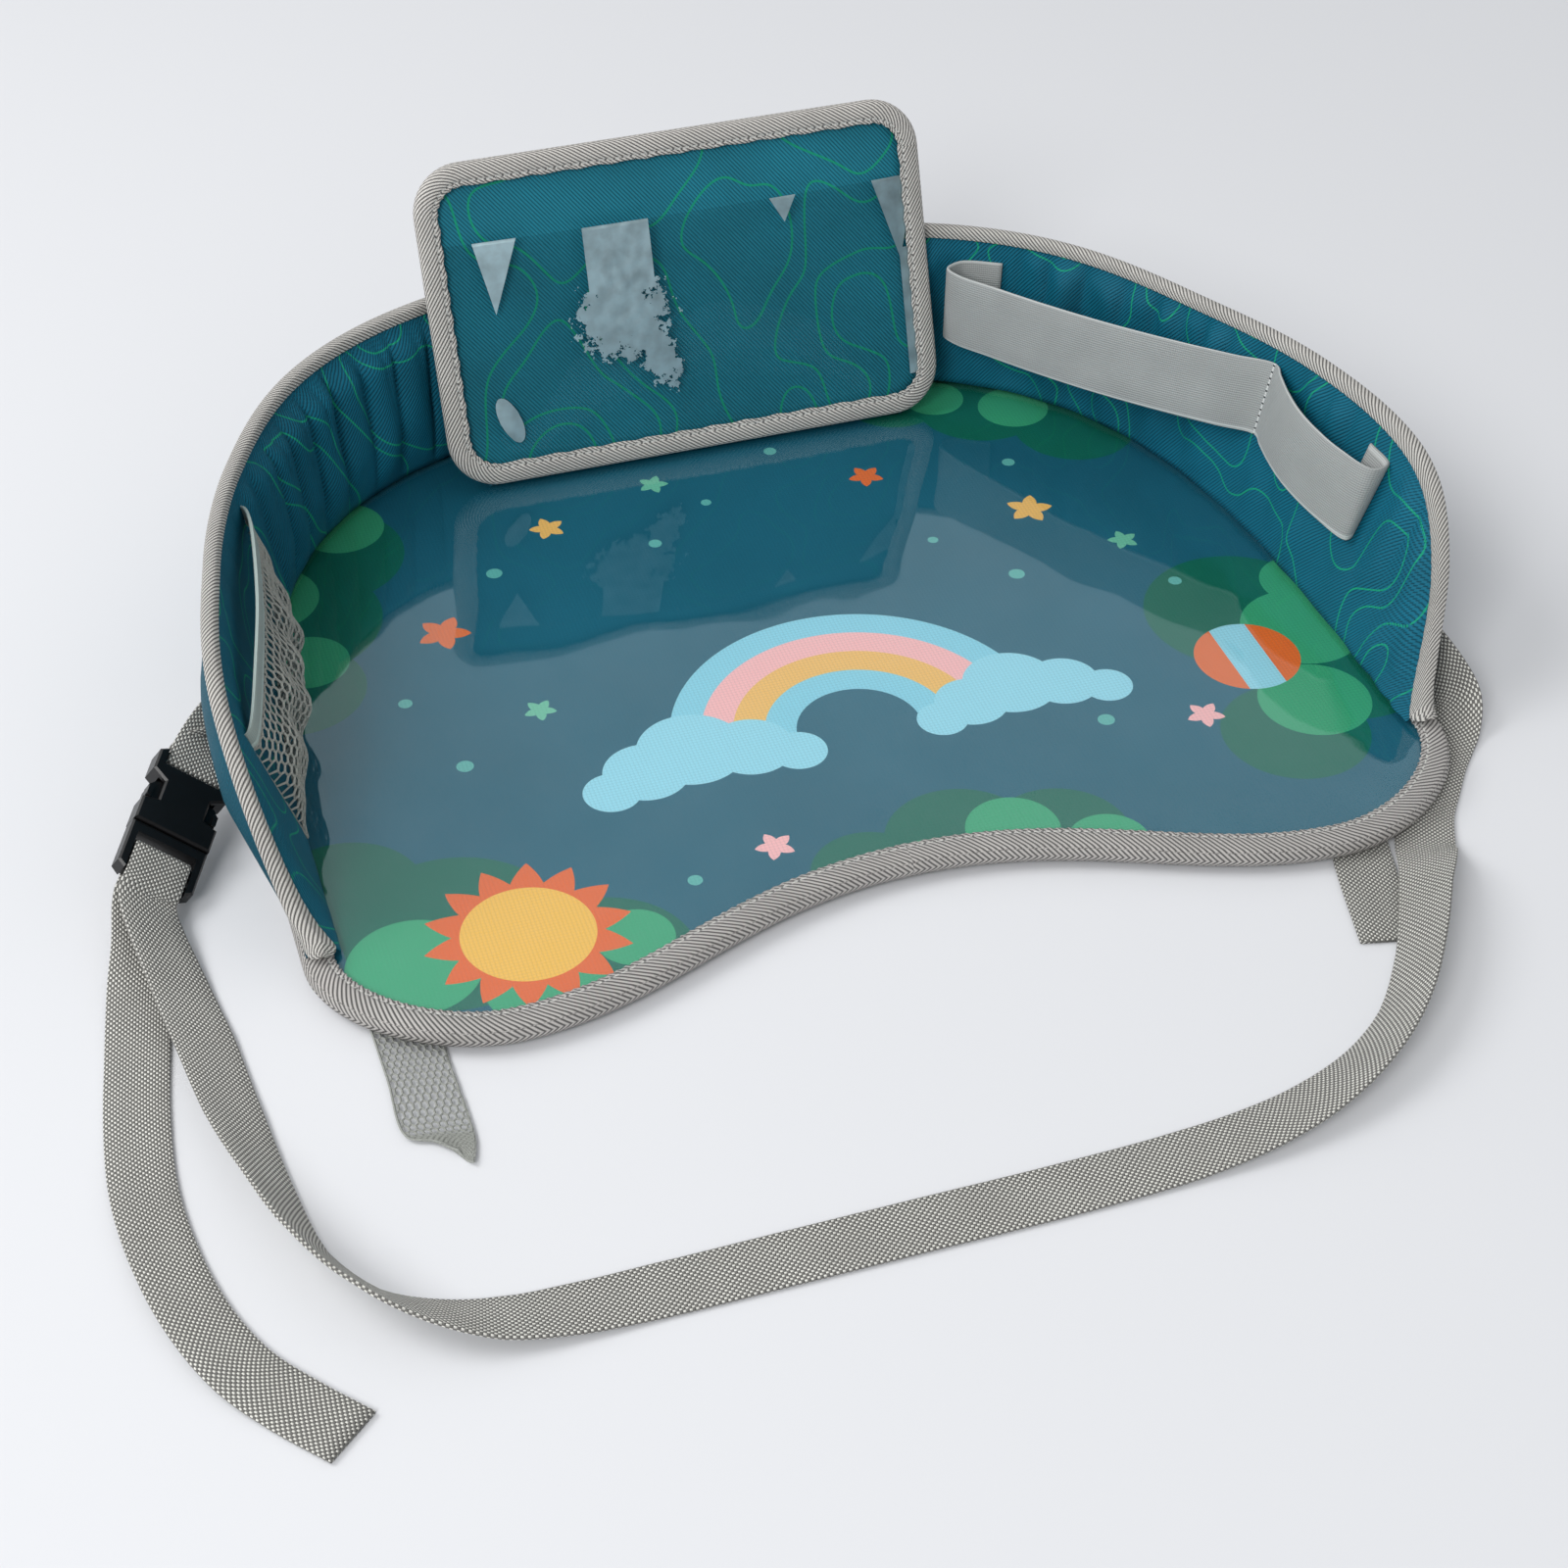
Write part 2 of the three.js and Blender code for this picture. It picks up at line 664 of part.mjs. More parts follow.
const foldStandOff = elasticTuckStandOff + elasticThick;
const backFold = elasticStation(elasticBackFoldShare, foldStandOff);
const backTurn = elasticStation(elasticBackTurnShare, foldStandOff + elasticThick + gap);
const stitch = elasticStation(elasticStitchShare, elasticStandOff);
const frontFold = elasticStation(elasticFrontFoldShare, foldStandOff);
const longLoop = longLoopShares.map((t) => acrossCorner(backTurn, stitch, t));
const shortLoop = shortLoopShares.map((t) =>
  elasticStation(
    THREE.MathUtils.lerp(elasticStitchShare, elasticFrontFoldShare, t),
    elasticStandOff + foldStandOff * t + shortLoopBow * Math.sin(Math.PI * t),
  ),
);
const elasticStations = [
  elasticStation(elasticBackTuckShare, elasticStandOff),
  elasticStation(elasticBackSewnShare, elasticStandOff),
  backFold,
  backTurn,
  ...longLoop,
  stitch,
  ...shortLoop,
  frontFold,
  elasticStation(elasticFrontSewnShare, elasticStandOff),
  elasticStation(elasticFrontTuckShare, elasticStandOff),
];
addPart("pen_elastic", ribbon(elasticStations, elasticThick), 0xa9aba6, 0.8);

// Mesh pocket on the left wall: a gathered net that bags out below its elastic edge
const pocketFrontShare = 0.13;
const pocketBackShare = 0.41;
const pocketLowShare = 0.05;
const pocketFrontHighShare = 0.69;
const pocketBackHighShare = 0.76;
const pocketSteps = 24;
const pocketMouth = 9;
const pocketBag = 9;
const gatherDepth = 1.5;
const gatherCount = 6;
const pocketFullness = 0.7;

function pocketStandOff(t, rise) {
  const across = Math.sin(Math.PI * t) ** pocketFullness;
  const gathers = gatherDepth * Math.sin(Math.PI * gatherCount * t) ** 2 * Math.sin(Math.PI * rise);
  return 2 * gap + across * (pocketMouth * rise + pocketBag * Math.sin(Math.PI * rise) + gathers);
}

const pocketNear = (t) => THREE.MathUtils.lerp(pocketFrontShare, pocketBackShare, t);
const pocketHighShare = (t) => THREE.MathUtils.lerp(pocketFrontHighShare, pocketBackHighShare, t);
const pocketRows = evenShares(4);
const pocketNet = evenShares(pocketSteps).map((t) => {
  const share = leftSide(pocketNear(t));
  const up = (rise) => THREE.MathUtils.lerp(pocketLowShare, pocketHighShare(t), rise);
  return [
    ...pocketRows.map((r) => beyondWall(share, up(r), -pocketStandOff(t, r) - netThick)),
    ...pocketRows.toReversed().map((r) => beyondWall(share, up(r), -pocketStandOff(t, r))),
  ];
});
addPart("mesh_pocket_net", solidFromRings(pocketNet), 0xa5a79f, 0.9);

const pocketEdge = evenShares(pocketSteps).map((t) => {
  const share = leftSide(pocketNear(t));
  const low = pocketHighShare(t) + (2 * gap) / wallRise(share);
  const out = -pocketStandOff(t, 1) - netThick / 2;
  return {
    low: beyondWall(share, low, out),
    high: beyondWall(share, low + pocketEdgeWidth / wallRise(share), out),
  };
});
addPart("mesh_pocket_elastic", ribbon(pocketEdge, netThick), 0x9fb0aa, 0.6);

// Mesh pocket under the left front corner: only its tongue lies out on the table
const underTop = edgeLift - gap;
const cornerPocketThick = 1.3;
const cornerPocketShares = [
  [-0.925, 0.79],
  [-0.918, 1.152],
  [-0.882, 1.176],
  [-0.852, 1.211],
  [-0.835, 1.246],
  [-0.82, 1.2],
  [-0.825, 0.82],
];
const cornerPocketShape = cornerPocketShares.map(([x, y]) => point2(x * halfWidth, y * lobeY));
addPart(
  "corner_mesh_pocket",
  plate(cornerPocketShape, underTop - cornerPocketThick, underTop),
  0x9a9b94,
  0.9,
);

// Side-release buckle: its own frame has X' across, Y' from the loop end to the strap end and Z' up
// from its face
const buckleStart = new THREE.Vector3(-217, -28, 20);
const buckleEnd = new THREE.Vector3(-238.5, -70, 11.5);
const buckleRoll = THREE.MathUtils.degToRad(35);
const buckleLength = femaleLength + gap + maleLength;
const buckleAlong = buckleEnd.clone().sub(buckleStart).normalize();
const levelAcross = new THREE.Vector3(0, 0, 1).cross(buckleAlong).normalize().negate();
const buckleUp = levelAcross.clone().cross(buckleAlong);
const buckleAcross = levelAcross
  .clone()
  .multiplyScalar(Math.cos(buckleRoll))
  .addScaledVector(buckleUp, Math.sin(buckleRoll));
const buckleFace = buckleAcross.clone().cross(buckleAlong);

const buckle = new THREE.Group();
buckle.position.copy(buckleStart);
const buckleTurn = new THREE.Matrix4().makeBasis(buckleAcross, buckleAlong, buckleFace);
buckle.quaternion.setFromRotationMatrix(buckleTurn);
tray.add(buckle);

function inBuckle(x, y, z) {
  return buckleStart
    .clone()
    .addScaledVector(buckleAcross, x)
    .addScaledVector(buckleAlong, y)
    .addScaledVector(buckleFace, z);
}

// A solid body from a symmetric outline of half widths, with softened faces
const buckleBevel = 0.7;
function buckleBody(halfOutline, thickness) {
  const right = halfOutline.map(([x, y]) => point2(x - buckleBevel, y));
  const left = right.toReversed().map((p) => point2(-p.x, p.y));
  const body = new THREE.ExtrudeGeometry(new THREE.Shape([...right, ...left]), {
    depth: thickness - 2 * buckleBevel,
    bevelThickness: buckleBevel,
    bevelSize: buckleBevel,
    bevelSegments: 1,
  });
  return body.translate(0, 0, buckleBevel - thickness / 2);
}

const cutOver = 2;
const halfBody = buckleWidth / 2;
const cornerCut = 2.2;
const bothFaces = (y0, y1, thickness) => [
  boxBetween([-slotWidth / 2, slotWidth / 2], [y0, y1], [barThick / 2, thickness]),
  boxBetween([-slotWidth / 2, slotWidth / 2], [y0, y1], [-thickness, -barThick / 2]),
];

// Buckle: female half, with a waist that leaves the prongs' finger pads open on both sides
const femaleOutline = [
  [halfBody - cornerCut, buckleBevel],
  [halfBody, cornerCut],
  [halfBody, waistStart - waistSlope],
  [waistWidth / 2, waistStart],
  [waistWidth / 2, waistEnd - buckleBevel],
  [halfBody, waistEnd + buckleBevel],
  [halfBody, femaleLength - buckleBevel],
];
const slotStart = barLength;
const slotEnd = slotStart + slotLength;
const femaleHalf = shaped(buckleBody(femaleOutline, femaleThick), [], [
  boxBetween([-slotWidth / 2, slotWidth / 2], [slotStart, slotEnd], [-femaleThick, femaleThick]),
  boxBetween(
    [-mouthWidth / 2, mouthWidth / 2],
    [femaleLength - cavityDepth, femaleLength + cutOver],
    [-mouthHeight / 2, mouthHeight / 2],
  ),
  ...bothFaces(-cutOver, slotStart, femaleThick),
]);
addPart("buckle_female", femaleHalf, 0x101113, 0.45, buckle);

// Buckle: male half, with two bars that the strap goes round and a tongue that guides it in
const maleStart = femaleLength + gap;
const nearSlotStart = maleStart + slotLength;
const middleBarStart = nearSlotStart + slotLength;
const farSlotStart = middleBarStart + barLength;
const outerBarStart = farSlotStart + slotLength;
const maleOutline = [
  [halfBody, maleStart + buckleBevel],
  [halfBody, buckleLength - cornerCut],
  [halfBody - cornerCut, buckleLength - buckleBevel],
];
const across = [-slotWidth / 2, slotWidth / 2];
const maleHalf = shaped(
  buckleBody(maleOutline, maleThick),
  [
    boxBetween(
      [-tongueWidth / 2, tongueWidth / 2],
      [waistStart + cutOver, maleStart + cutOver],
      [-prongHeight / 2, prongHeight / 2],
    ),
  ],
  [
    boxBetween(across, [nearSlotStart, middleBarStart], [-maleThick, maleThick]),
    boxBetween(across, [farSlotStart, outerBarStart], [-maleThick, maleThick]),
    ...bothFaces(middleBarStart - cutOver, buckleLength + cutOver, maleThick),
  ],
);
addPart("buckle_male", maleHalf, 0x101113, 0.45, buckle);

// Buckle: two prongs, each with a finger pad that stands out at the waist
const prongInner = mouthWidth / 2 - gap - prongThick - gap;
const shoulderY = waistEnd - gap - buckleBevel;
const padInnerStart = prongReach - padThick;
const padEndMargin = 1;
const prongOutline = [
  [prongInner, maleStart - gap],
  [prongInner, waistStart],
  [prongInner + prongThick / 2, waistStart - gap],
  [padInnerStart, waistStart + padEndMargin],
  [prongReach, waistStart + waistSlope],
  [prongReach, shoulderY],
  [prongInner + prongThick, shoulderY],
  [prongInner + prongThick, maleStart - gap],
];
const padOutline = [
  [padInnerStart, waistStart + waistSlope],
  [prongReach, waistStart + waistSlope + padEndMargin],
  [prongReach, shoulderY - padEndMargin],
  [padInnerStart, shoulderY - gap],
];

function prong(side) {
  const mirrorX = (outline) => outline.map(([x, y]) => point2(side * x, y));
  const arm = plate(mirrorX(prongOutline), -prongHeight / 2, prongHeight / 2);
  const pad = plate(mirrorX(padOutline), -padHeight / 2, padHeight / 2);
  return shaped(arm, [pad], []);
}

addPart("buckle_prong_left", prong(1), 0x131416, 0.45, buckle);
addPart("buckle_prong_right", prong(-1), 0x131416, 0.45, buckle);

// Webbing: a station on a route is a point with the direction across the strap
const threaded = ([y, z]) => ({ at: inBuckle(0, y, z), across: buckleAcross });
const lying = ([x, y, z, bank]) => ({ at: new THREE.Vector3(x, y, z), bank });
const stationsPerPoint = 2;

function strap(route) {
  const curve = new THREE.CatmullRomCurve3(route.map((s) => s.at), false, "centripetal");
  const sides = [];
  route.forEach((s, i) => {
    const along = curve.getTangent(i / (route.length - 1));
    let side = s.across?.clone();
    if (!side) {
      const bank = THREE.MathUtils.degToRad(s.bank);
      const level = along.clone().cross(new THREE.Vector3(0, 0, 1)).normalize();
      const upright = level.clone().cross(along).normalize();
      side = level.multiplyScalar(Math.cos(bank)).addScaledVector(upright, Math.sin(bank));
    }
    if (i > 0 && side.dot(sides[i - 1]) < 0) side.negate();
    sides.push(side);
  });
  const steps = (route.length - 1) * stationsPerPoint;
  const stations = evenShares(steps).map((t) => {
    const place = t * (route.length - 1);
    const i = Math.min(Math.floor(place), route.length - 2);
    const along = curve.getTangent(t);
    const side = sides[i].clone().lerp(sides[i + 1], place - i);
    side.addScaledVector(along, -side.dot(along)).setLength(webbingWidth / 2);
    const middle = curve.getPoint(t);
    return { low: middle.clone().sub(side), high: middle.clone().add(side) };
  });
  return ribbon(stations, webbingThick);
}

// Webbing: short loop from the left outer wall round the female half's bar and back
const loopRoute = [
  [-191.6, 34, 25, 86],
  [-194.7, 18, 25, 86],
  [-196.9, 4, 25, 85],
  [-202.3, -5.8, 24.6, 78],
  [-208.2, -15.7, 23.9, 54],
].map(lying);
const loopBack = [
  [-210.3, -14.3, 20.7, 54],
  [-204.2, -5.2, 22.9, 78],
  [-198.7, 4, 25, 85],
  [-196.5, 18, 25, 86],
  [-193.4, 34, 25, 86],
].map(lying);
const loopWrap = [
  [-4, 2.6],
  [1.4, 2.7],
  [3.7, 2.1],
  [4.8, 0],
  [3.7, -2.1],
  [1.4, -2.7],
  [-4, -2.6],
].map(threaded);
addPart("buckle_loop_webbing", strap([...loopRoute, ...loopWrap, ...loopBack]), greyWebbing, 0.9);

// Webbing: the belt's route from its seam on the right outer wall, round the front and through the male
// half, to the cut end of the tail. Each point is x, y, z and the bank of the strap in degrees.
const beltFromWall = [
  [202.7, -46, 26, -76],
  [203.7, -60, 25.5, -75],
  [204.4, -74, 23, -73],
  [207.4, -88, 17, -68],
  [210.6, -101, 10.5, -52],
  [210.6, -111, 6.4, -30],
  [205.8, -119.5, 1.7, -5],
  [200, -126, 0.9, 0],
  [193, -134, 0.9, 0],
  [184, -146, 0.9, 0],
  [176, -157, 1, 0],
  [168.5, -172, 1.6, -3],
  [162.5, -184, 6.9, -26],
  [153, -200, 9.6, -40],
  [140, -222, 9.3, -45],
  [123, -244, 7.6, -43],
  [104, -259, 6.4, -33],
  [83, -268.5, 4.4, -20],
  [62, -273.5, 2.7, -10],
  [36, -276, 1.3, -2],
  [0, -277, 0.9, 0],
  [-45, -277, 0.9, 0],
  [-90, -277, 0.9, 0],
  [-128, -277, 0.9, 0],
  [-152, -276.8, 1.8, -5],
  [-173, -275, 3.5, -15],
  [-191, -269, 6.6, -35],
  [-207, -257, 8.9, -55],
  [-219.5, -236, 9.4, -60],
  [-226.5, -206, 8.1, -46],
  [-231, -176, 6, -29],
  [-234.5, -140, 4.5, -20],
  [-238, -113, 5.6, -24],
].map(lying);
const beltWrap = [
  [57.5, 2.7],
  [51, 2.75],
  [45, 2.8],
  [41, 2.8],
  [39.2, 2.65],
  [37.9, 1.5],
  [37.4, 0],
  [37.9, -1.5],
  [39.2, -2.65],
  [41, -2.8],
  [45, -2.8],
  [51, -2.75],
  [56, -2.7],
].map(threaded);
const beltTail = [
  [-246, -93, 5, 20],
  [-250, -110, 2.4, 6],
  [-255, -138, 0.9, 0],
  [-259.5, -168, 0.9, 0],
  [-261.5, -197, 1.6, 4],
  [-259, -226, 2.2, 8],
  [-253.5, -250, 2.2, 8],
  [-245, -270, 1.6, 4],
  [-234, -285, 0.9, 0],
  [-220.8, -300.5, 0.9, 0],
].map(lying);
addPart("belt_webbing", strap([...beltFromWall, ...beltWrap, ...beltTail]), greyWebbing, 0.9);

// Webbing: a cut end sewn under the right front corner
const cutEndRoute = [
  [151.5, -149.5, 0.9, 0],
  [149, -160, 0.9, 0],
  [143, -182, 0.9, 0],
  [136.5, -210, 0.9, 0],
].map(lying);
addPart("strap_cut_end", strap(cutEndRoute), 0xb0aea6, 0.9);

export default tray;
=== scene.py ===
# %% [markdown]
# # A kids travel tray
#
# The tray is a stiff printed floor under clear film, with a padded wall, a phone panel, elastic loops, mesh
# pockets and a webbing belt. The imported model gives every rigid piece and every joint. This lesson replaces the
# plain soft solids by detailed cloth, tape, net and webbing, and gives each surface a procedural finish.
#
# Blender's lengths are metres. Cloth is easier to think of in millimetres, so points and sizes of the tray are in
# millimetres here, and turn into metres where they go into a mesh or a modifier. The camera's distance, the table
# and the lamps are in metres.

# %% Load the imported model
import math

import bmesh
import bpy
import numpy as np
from mathutils import Matrix, Vector


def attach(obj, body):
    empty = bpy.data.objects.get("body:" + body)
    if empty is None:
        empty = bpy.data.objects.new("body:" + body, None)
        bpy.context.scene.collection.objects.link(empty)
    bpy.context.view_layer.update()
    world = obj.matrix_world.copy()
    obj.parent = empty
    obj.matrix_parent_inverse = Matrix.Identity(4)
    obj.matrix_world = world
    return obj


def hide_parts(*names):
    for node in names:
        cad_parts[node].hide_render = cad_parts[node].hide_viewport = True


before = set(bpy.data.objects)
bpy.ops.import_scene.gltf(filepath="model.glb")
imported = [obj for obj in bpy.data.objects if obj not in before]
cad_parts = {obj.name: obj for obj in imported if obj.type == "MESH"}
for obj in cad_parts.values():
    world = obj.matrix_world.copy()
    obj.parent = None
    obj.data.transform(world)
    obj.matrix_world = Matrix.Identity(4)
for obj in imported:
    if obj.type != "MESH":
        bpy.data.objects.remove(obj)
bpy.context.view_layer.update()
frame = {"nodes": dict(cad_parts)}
nodes = frame["nodes"]

# %% Small helpers
MM = 0.001


def mm(*values):
    return Vector(v * MM for v in values)


def clamp(value, low=0, high=1):
    return min(max(value, low), high)


def unit(vector):
    return vector / np.linalg.norm(vector)


def run_along(points):
    """The distance from the first point to each point of a line."""
    return np.concatenate([[0], np.cumsum(np.linalg.norm(np.diff(points, axis=0), axis=1))])


def hermite(t, start, start_slope, end, end_slope):
    """A smooth curve between two values with the given slopes, for t from 0 to 1."""
    return (
        (2 * t**3 - 3 * t**2 + 1) * start
        + (t**3 - 2 * t**2 + t) * start_slope
        + (3 * t**2 - 2 * t**3) * end
        + (t**3 - t**2) * end_slope
    )


def new_object(name, data):
    thing = bpy.data.objects.new(name, data)
    bpy.context.scene.collection.objects.link(thing)
    return thing


def change_mesh(mesh, operation):
    """Runs an operation on a mesh as a bmesh."""
    shape = bmesh.new()
    shape.from_mesh(mesh)
    operation(shape)
    shape.to_mesh(mesh)
    shape.free()


def stands_for(piece, node):
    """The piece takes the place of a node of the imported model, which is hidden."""
    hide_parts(node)
    return piece


# %% [markdown]
# ## Camera
#
# The photograph looks down on the tray from the front left, from about 40 degrees above the table and 18
# degrees to the left of its middle. The camera stands almost a metre away, with a lens of 67.5 mm on a 36 mm
# sensor. It comes first.

# %% Camera
CAMERA_AZIMUTH = math.radians(-18)
CAMERA_ELEVATION = math.radians(40)
CAMERA_DISTANCE = 0.9766
CAMERA_TARGET = mm(-32, -96.7, 20)

camera_data = bpy.data.cameras.new("camera")
camera_data.lens = 67.5
camera_data.sensor_width = 36
camera = new_object("camera", camera_data)
level = math.cos(CAMERA_ELEVATION)
from_target = Vector(
    (math.sin(CAMERA_AZIMUTH) * level, -math.cos(CAMERA_AZIMUTH) * level, math.sin(CAMERA_ELEVATION))
)
camera.location = CAMERA_TARGET + from_target * CAMERA_DISTANCE
camera.rotation_euler = from_target.to_track_quat("Z", "Y").to_euler()
bpy.context.scene.camera = camera
print("camera at", [round(c, 4) for c in camera.location])

# %% [markdown]
# ## Curves and sheets
#
# Every piece of cloth here is a sheet or a tape that follows a curve. Two helpers are enough for them. One walks
# along a chain of curves at an even pace. The other joins rows of points into a mesh, and gives it a map in
# millimetres along and across the cloth, so that a weave keeps its real size.


# %% A chain of Bezier curves, walked at an even pace
class Chain:
    def __init__(self, curves, samples=240):
        points = []
        for curve in curves:
            a, b, c, d = (np.array(p, float) for p in curve)
            t = np.linspace(0, 1, samples, endpoint=False)[:, None]
            points.append((1 - t) ** 3 * a + 3 * (1 - t) ** 2 * t * b + 3 * (1 - t) * t**2 * c + t**3 * d)
        points.append(np.array([curves[-1][-1]], float))
        self.points = np.vstack(points)
        self.lengths = run_along(self.points)
        self.length = self.lengths[-1]

    def point(self, distance):
        return np.array([np.interp(distance, self.lengths, self.points[:, k]) for k in (0, 1)])

    def at(self, share):
        """Point and outward normal at a share of the length."""
        distance = clamp(share) * self.length
        near = 0.002 * self.length
        x, y = unit(self.point(min(distance + near, self.length)) - self.point(max(distance - near, 0)))
        return self.point(distance), np.array([y, -x])

    def beside(self, share, offset):
        point, normal = self.at(share)
        return point + normal * offset


# %% The floor's outline: half of it, and its mirror
HALF_WIDTH, BELLY_Y = 199.5, -136
LOBE_X, LOBE_Y = 141, -171
SIDE_Y, BACK_Y = -120, 171
LOBE_TO_SIDE = HALF_WIDTH - LOBE_X
SIDE_LOW, SIDE_HIGH = SIDE_Y + 0.55 * (LOBE_Y - SIDE_Y), SIDE_Y + 0.51 * (BACK_Y - SIDE_Y)

half_outline = [
    [(0, BELLY_Y), (0.43 * LOBE_X, BELLY_Y), (0.64 * LOBE_X, LOBE_Y), (LOBE_X, LOBE_Y)],
    [(LOBE_X, LOBE_Y), (LOBE_X + 0.43 * LOBE_TO_SIDE, LOBE_Y), (HALF_WIDTH, SIDE_LOW), (HALF_WIDTH, SIDE_Y)],
    [(HALF_WIDTH, SIDE_Y), (HALF_WIDTH, SIDE_HIGH), (1.03 * HALF_WIDTH, BACK_Y), (0, BACK_Y)],
]


def mirrored(curve):
    return [(-x, y) for x, y in reversed(curve)]


floor_chain = Chain(half_outline + [mirrored(c) for c in reversed(half_outline)])
wall_chain = Chain([half_outline[2], mirrored(half_outline[2])])
print("outline", round(floor_chain.length), "mm round, wall", round(wall_chain.length), "mm long")

# %% Rows of points become a mesh with a map in millimetres
MAP_SCALE = 0.01


def cloth_mesh(name, rows, wrap=False, close=False, cap=False, body="tray", maps=None, middle=0):
    """rows[i][j] are points; wrap joins the last row to the first, close the last column.

    The map counts millimetres along the rows, and across them from the column called middle.
    """
    rows = np.array(rows, float)
    count, width = rows.shape[:2]
    if maps is None:
        along, across = np.zeros((count, width)), np.zeros((count, width))
        along[1:] = np.cumsum(np.linalg.norm(np.diff(rows, axis=0), axis=2).mean(axis=1))[:, None]
        across[:, 1:] = np.cumsum(np.linalg.norm(np.diff(rows, axis=1), axis=2), axis=1)
        across -= across[:, middle : middle + 1]
    else:
        along, across = maps
    step_along = np.linalg.norm(rows[0] - rows[-1], axis=1).mean()
    step_across = np.linalg.norm(rows[:, 0] - rows[:, -1], axis=1).mean()
    faces, places = [], []
    for i in range(count if wrap else count - 1):
        k = (i + 1) % count
        for j in range(width if close else width - 1):
            m = (j + 1) % width
            faces.append((i * width + j, k * width + j, k * width + m, i * width + m))
            if maps is not None:
                places += [(along[a, b], across[a, b]) for a, b in ((i, j), (k, j), (k, m), (i, m))]
                continue
            u0, v0 = along[i, j], across[i, j]
            u1 = along[k, j] if k else along[-1, j] + step_along
            v1 = across[i, m] if m else across[i, -1] + step_across
            places += [(u0, v0), (u1, v0), (u1, v1), (u0, v1)]
    if cap:
        for ring, turn in ((0, 1), (count - 1, -1)):
            faces.append(tuple(range(ring * width, (ring + 1) * width))[::turn])
            places += [(along[ring, j], across[ring, j]) for j in range(width)][::turn]
    mesh = bpy.data.meshes.new(name)
    mesh.from_pydata([tuple(p * MM) for p in rows.reshape(-1, 3)], [], faces)
    layer = mesh.uv_layers.new(name="cloth")
    layer.data.foreach_set("uv", np.array(places, float).ravel() * MAP_SCALE)
    mesh.polygons.foreach_set("use_smooth", [True] * len(mesh.polygons))
    mesh.validate()
    mesh.update()
    piece = new_object(name, mesh)
    change_mesh(mesh, lambda shape: bmesh.ops.recalc_face_normals(shape, faces=shape.faces))
    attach(piece, body)
    return piece


# %% [markdown]
# ## The belt
#
# The belt is one strap of flat webbing, 20 mm wide. It is sewn to the right outer wall, runs under the front
# corner and round the front on the table, and goes through the two bars of the buckle's male half. Its tail lies
# on the table and ends in a plain cut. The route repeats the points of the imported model. A strap like this is
# modelled directly, as a ribbon whose sides follow the same directions, because no simulation keeps it flat.

# %% Webbing follows a route of points, with the bank of the strap in degrees
WEBBING_WIDTH, WEBBING_THICK = 20, 1.3
TABLE_CLEAR = 0.05
BUCKLE_PARTS = ["buckle_male", "buckle_female", "buckle_prong_left", "buckle_prong_right"]
BUCKLE_START = np.array([-217, -28, 20.0])
BUCKLE_END = np.array([-238.5, -70, 11.5])
BUCKLE_ROLL = math.radians(35)
STRAP_SECTION = [
    (-1, -0.3), (-0.985, -0.75), (-0.95, -1), (-0.48, -1), (0, -1), (0.48, -1), (0.95, -1), (0.985, -0.75),
    (1, -0.3), (1, 0.3), (0.985, 0.75), (0.95, 1), (0.48, 1), (0, 1), (-0.48, 1), (-0.95, 1), (-0.985, 0.75),
    (-1, 0.3),
]

buckle_along = unit(BUCKLE_END - BUCKLE_START)
level_across = unit(-np.cross([0, 0, 1], buckle_along))
buckle_up = np.cross(level_across, buckle_along)
buckle_across = level_across * math.cos(BUCKLE_ROLL) + buckle_up * math.sin(BUCKLE_ROLL)
buckle_face = np.cross(buckle_across, buckle_along)


def threaded(y, z):
    """A point of the route in the buckle's own directions: along it, and off its middle."""
    return BUCKLE_START + buckle_along * y + buckle_face * z, buckle_across


def lying(x, y, z, bank):
    """A point of the route outside the buckle, with the strap's bank."""
    return np.array([x, y, z], float), math.radians(bank)


def spline(points, steps):
    """A centripetal Catmull-Rom curve through the points."""
    points = np.array(points, float)
    ends = np.vstack([2 * points[0] - points[1], points, 2 * points[-1] - points[-2]])
    out = []
    for i in range(len(points) - 1):
        p0, p1, p2, p3 = ends[i : i + 4]
        d0, d1, d2 = (max(np.linalg.norm(b - a) ** 0.5, 1e-4) for a, b in ((p0, p1), (p1, p2), (p2, p3)))
        m1 = (p1 - p0) / d0 - (p2 - p0) / (d0 + d1) + (p2 - p1) / d1
        m2 = (p2 - p1) / d1 - (p3 - p1) / (d1 + d2) + (p3 - p2) / d2
        out += [hermite(k / steps, p1, m1 * d1, p2, m2 * d1) for k in range(steps)]
    out.append(points[-1])
    return np.array(out)


def strap_side(along, turn):
    """The strap's sideways direction: level but for its bank, or given as it is inside the buckle."""
    if not isinstance(turn, float):
        return np.array(turn, float)
    across = unit(np.cross(along, [0, 0, 1]))
    return across * math.cos(turn) + np.cross(across, along) * math.sin(turn)


def strap_rows(route, steps=4):
    """The rings of a strap's section, and the middle line that they follow."""
    middles = spline([p for p, _ in route], steps)
    along = np.gradient(middles, axis=0)
    along /= np.linalg.norm(along, axis=1)[:, None]
    sides = []
    for i, (_, turn) in enumerate(route):
        side = strap_side(along[i * steps], turn)
        sides.append(-side if i and np.dot(side, sides[-1]) < 0 else side)
    rings = []
    for n, (p, t) in enumerate(zip(middles, along)):
        i = min(n // steps, len(route) - 2)
        f = n / steps - i
        side = sides[i] * (1 - f) + sides[i + 1] * f
        side = unit(side - t * np.dot(side, t))
        face = np.cross(t, side)
        ring = [p + side * x * WEBBING_WIDTH / 2 + face * z * WEBBING_THICK / 2 for x, z in STRAP_SECTION]
        rings.append([[x, y, max(z, TABLE_CLEAR)] for x, y, z in ring])
    return rings, middles


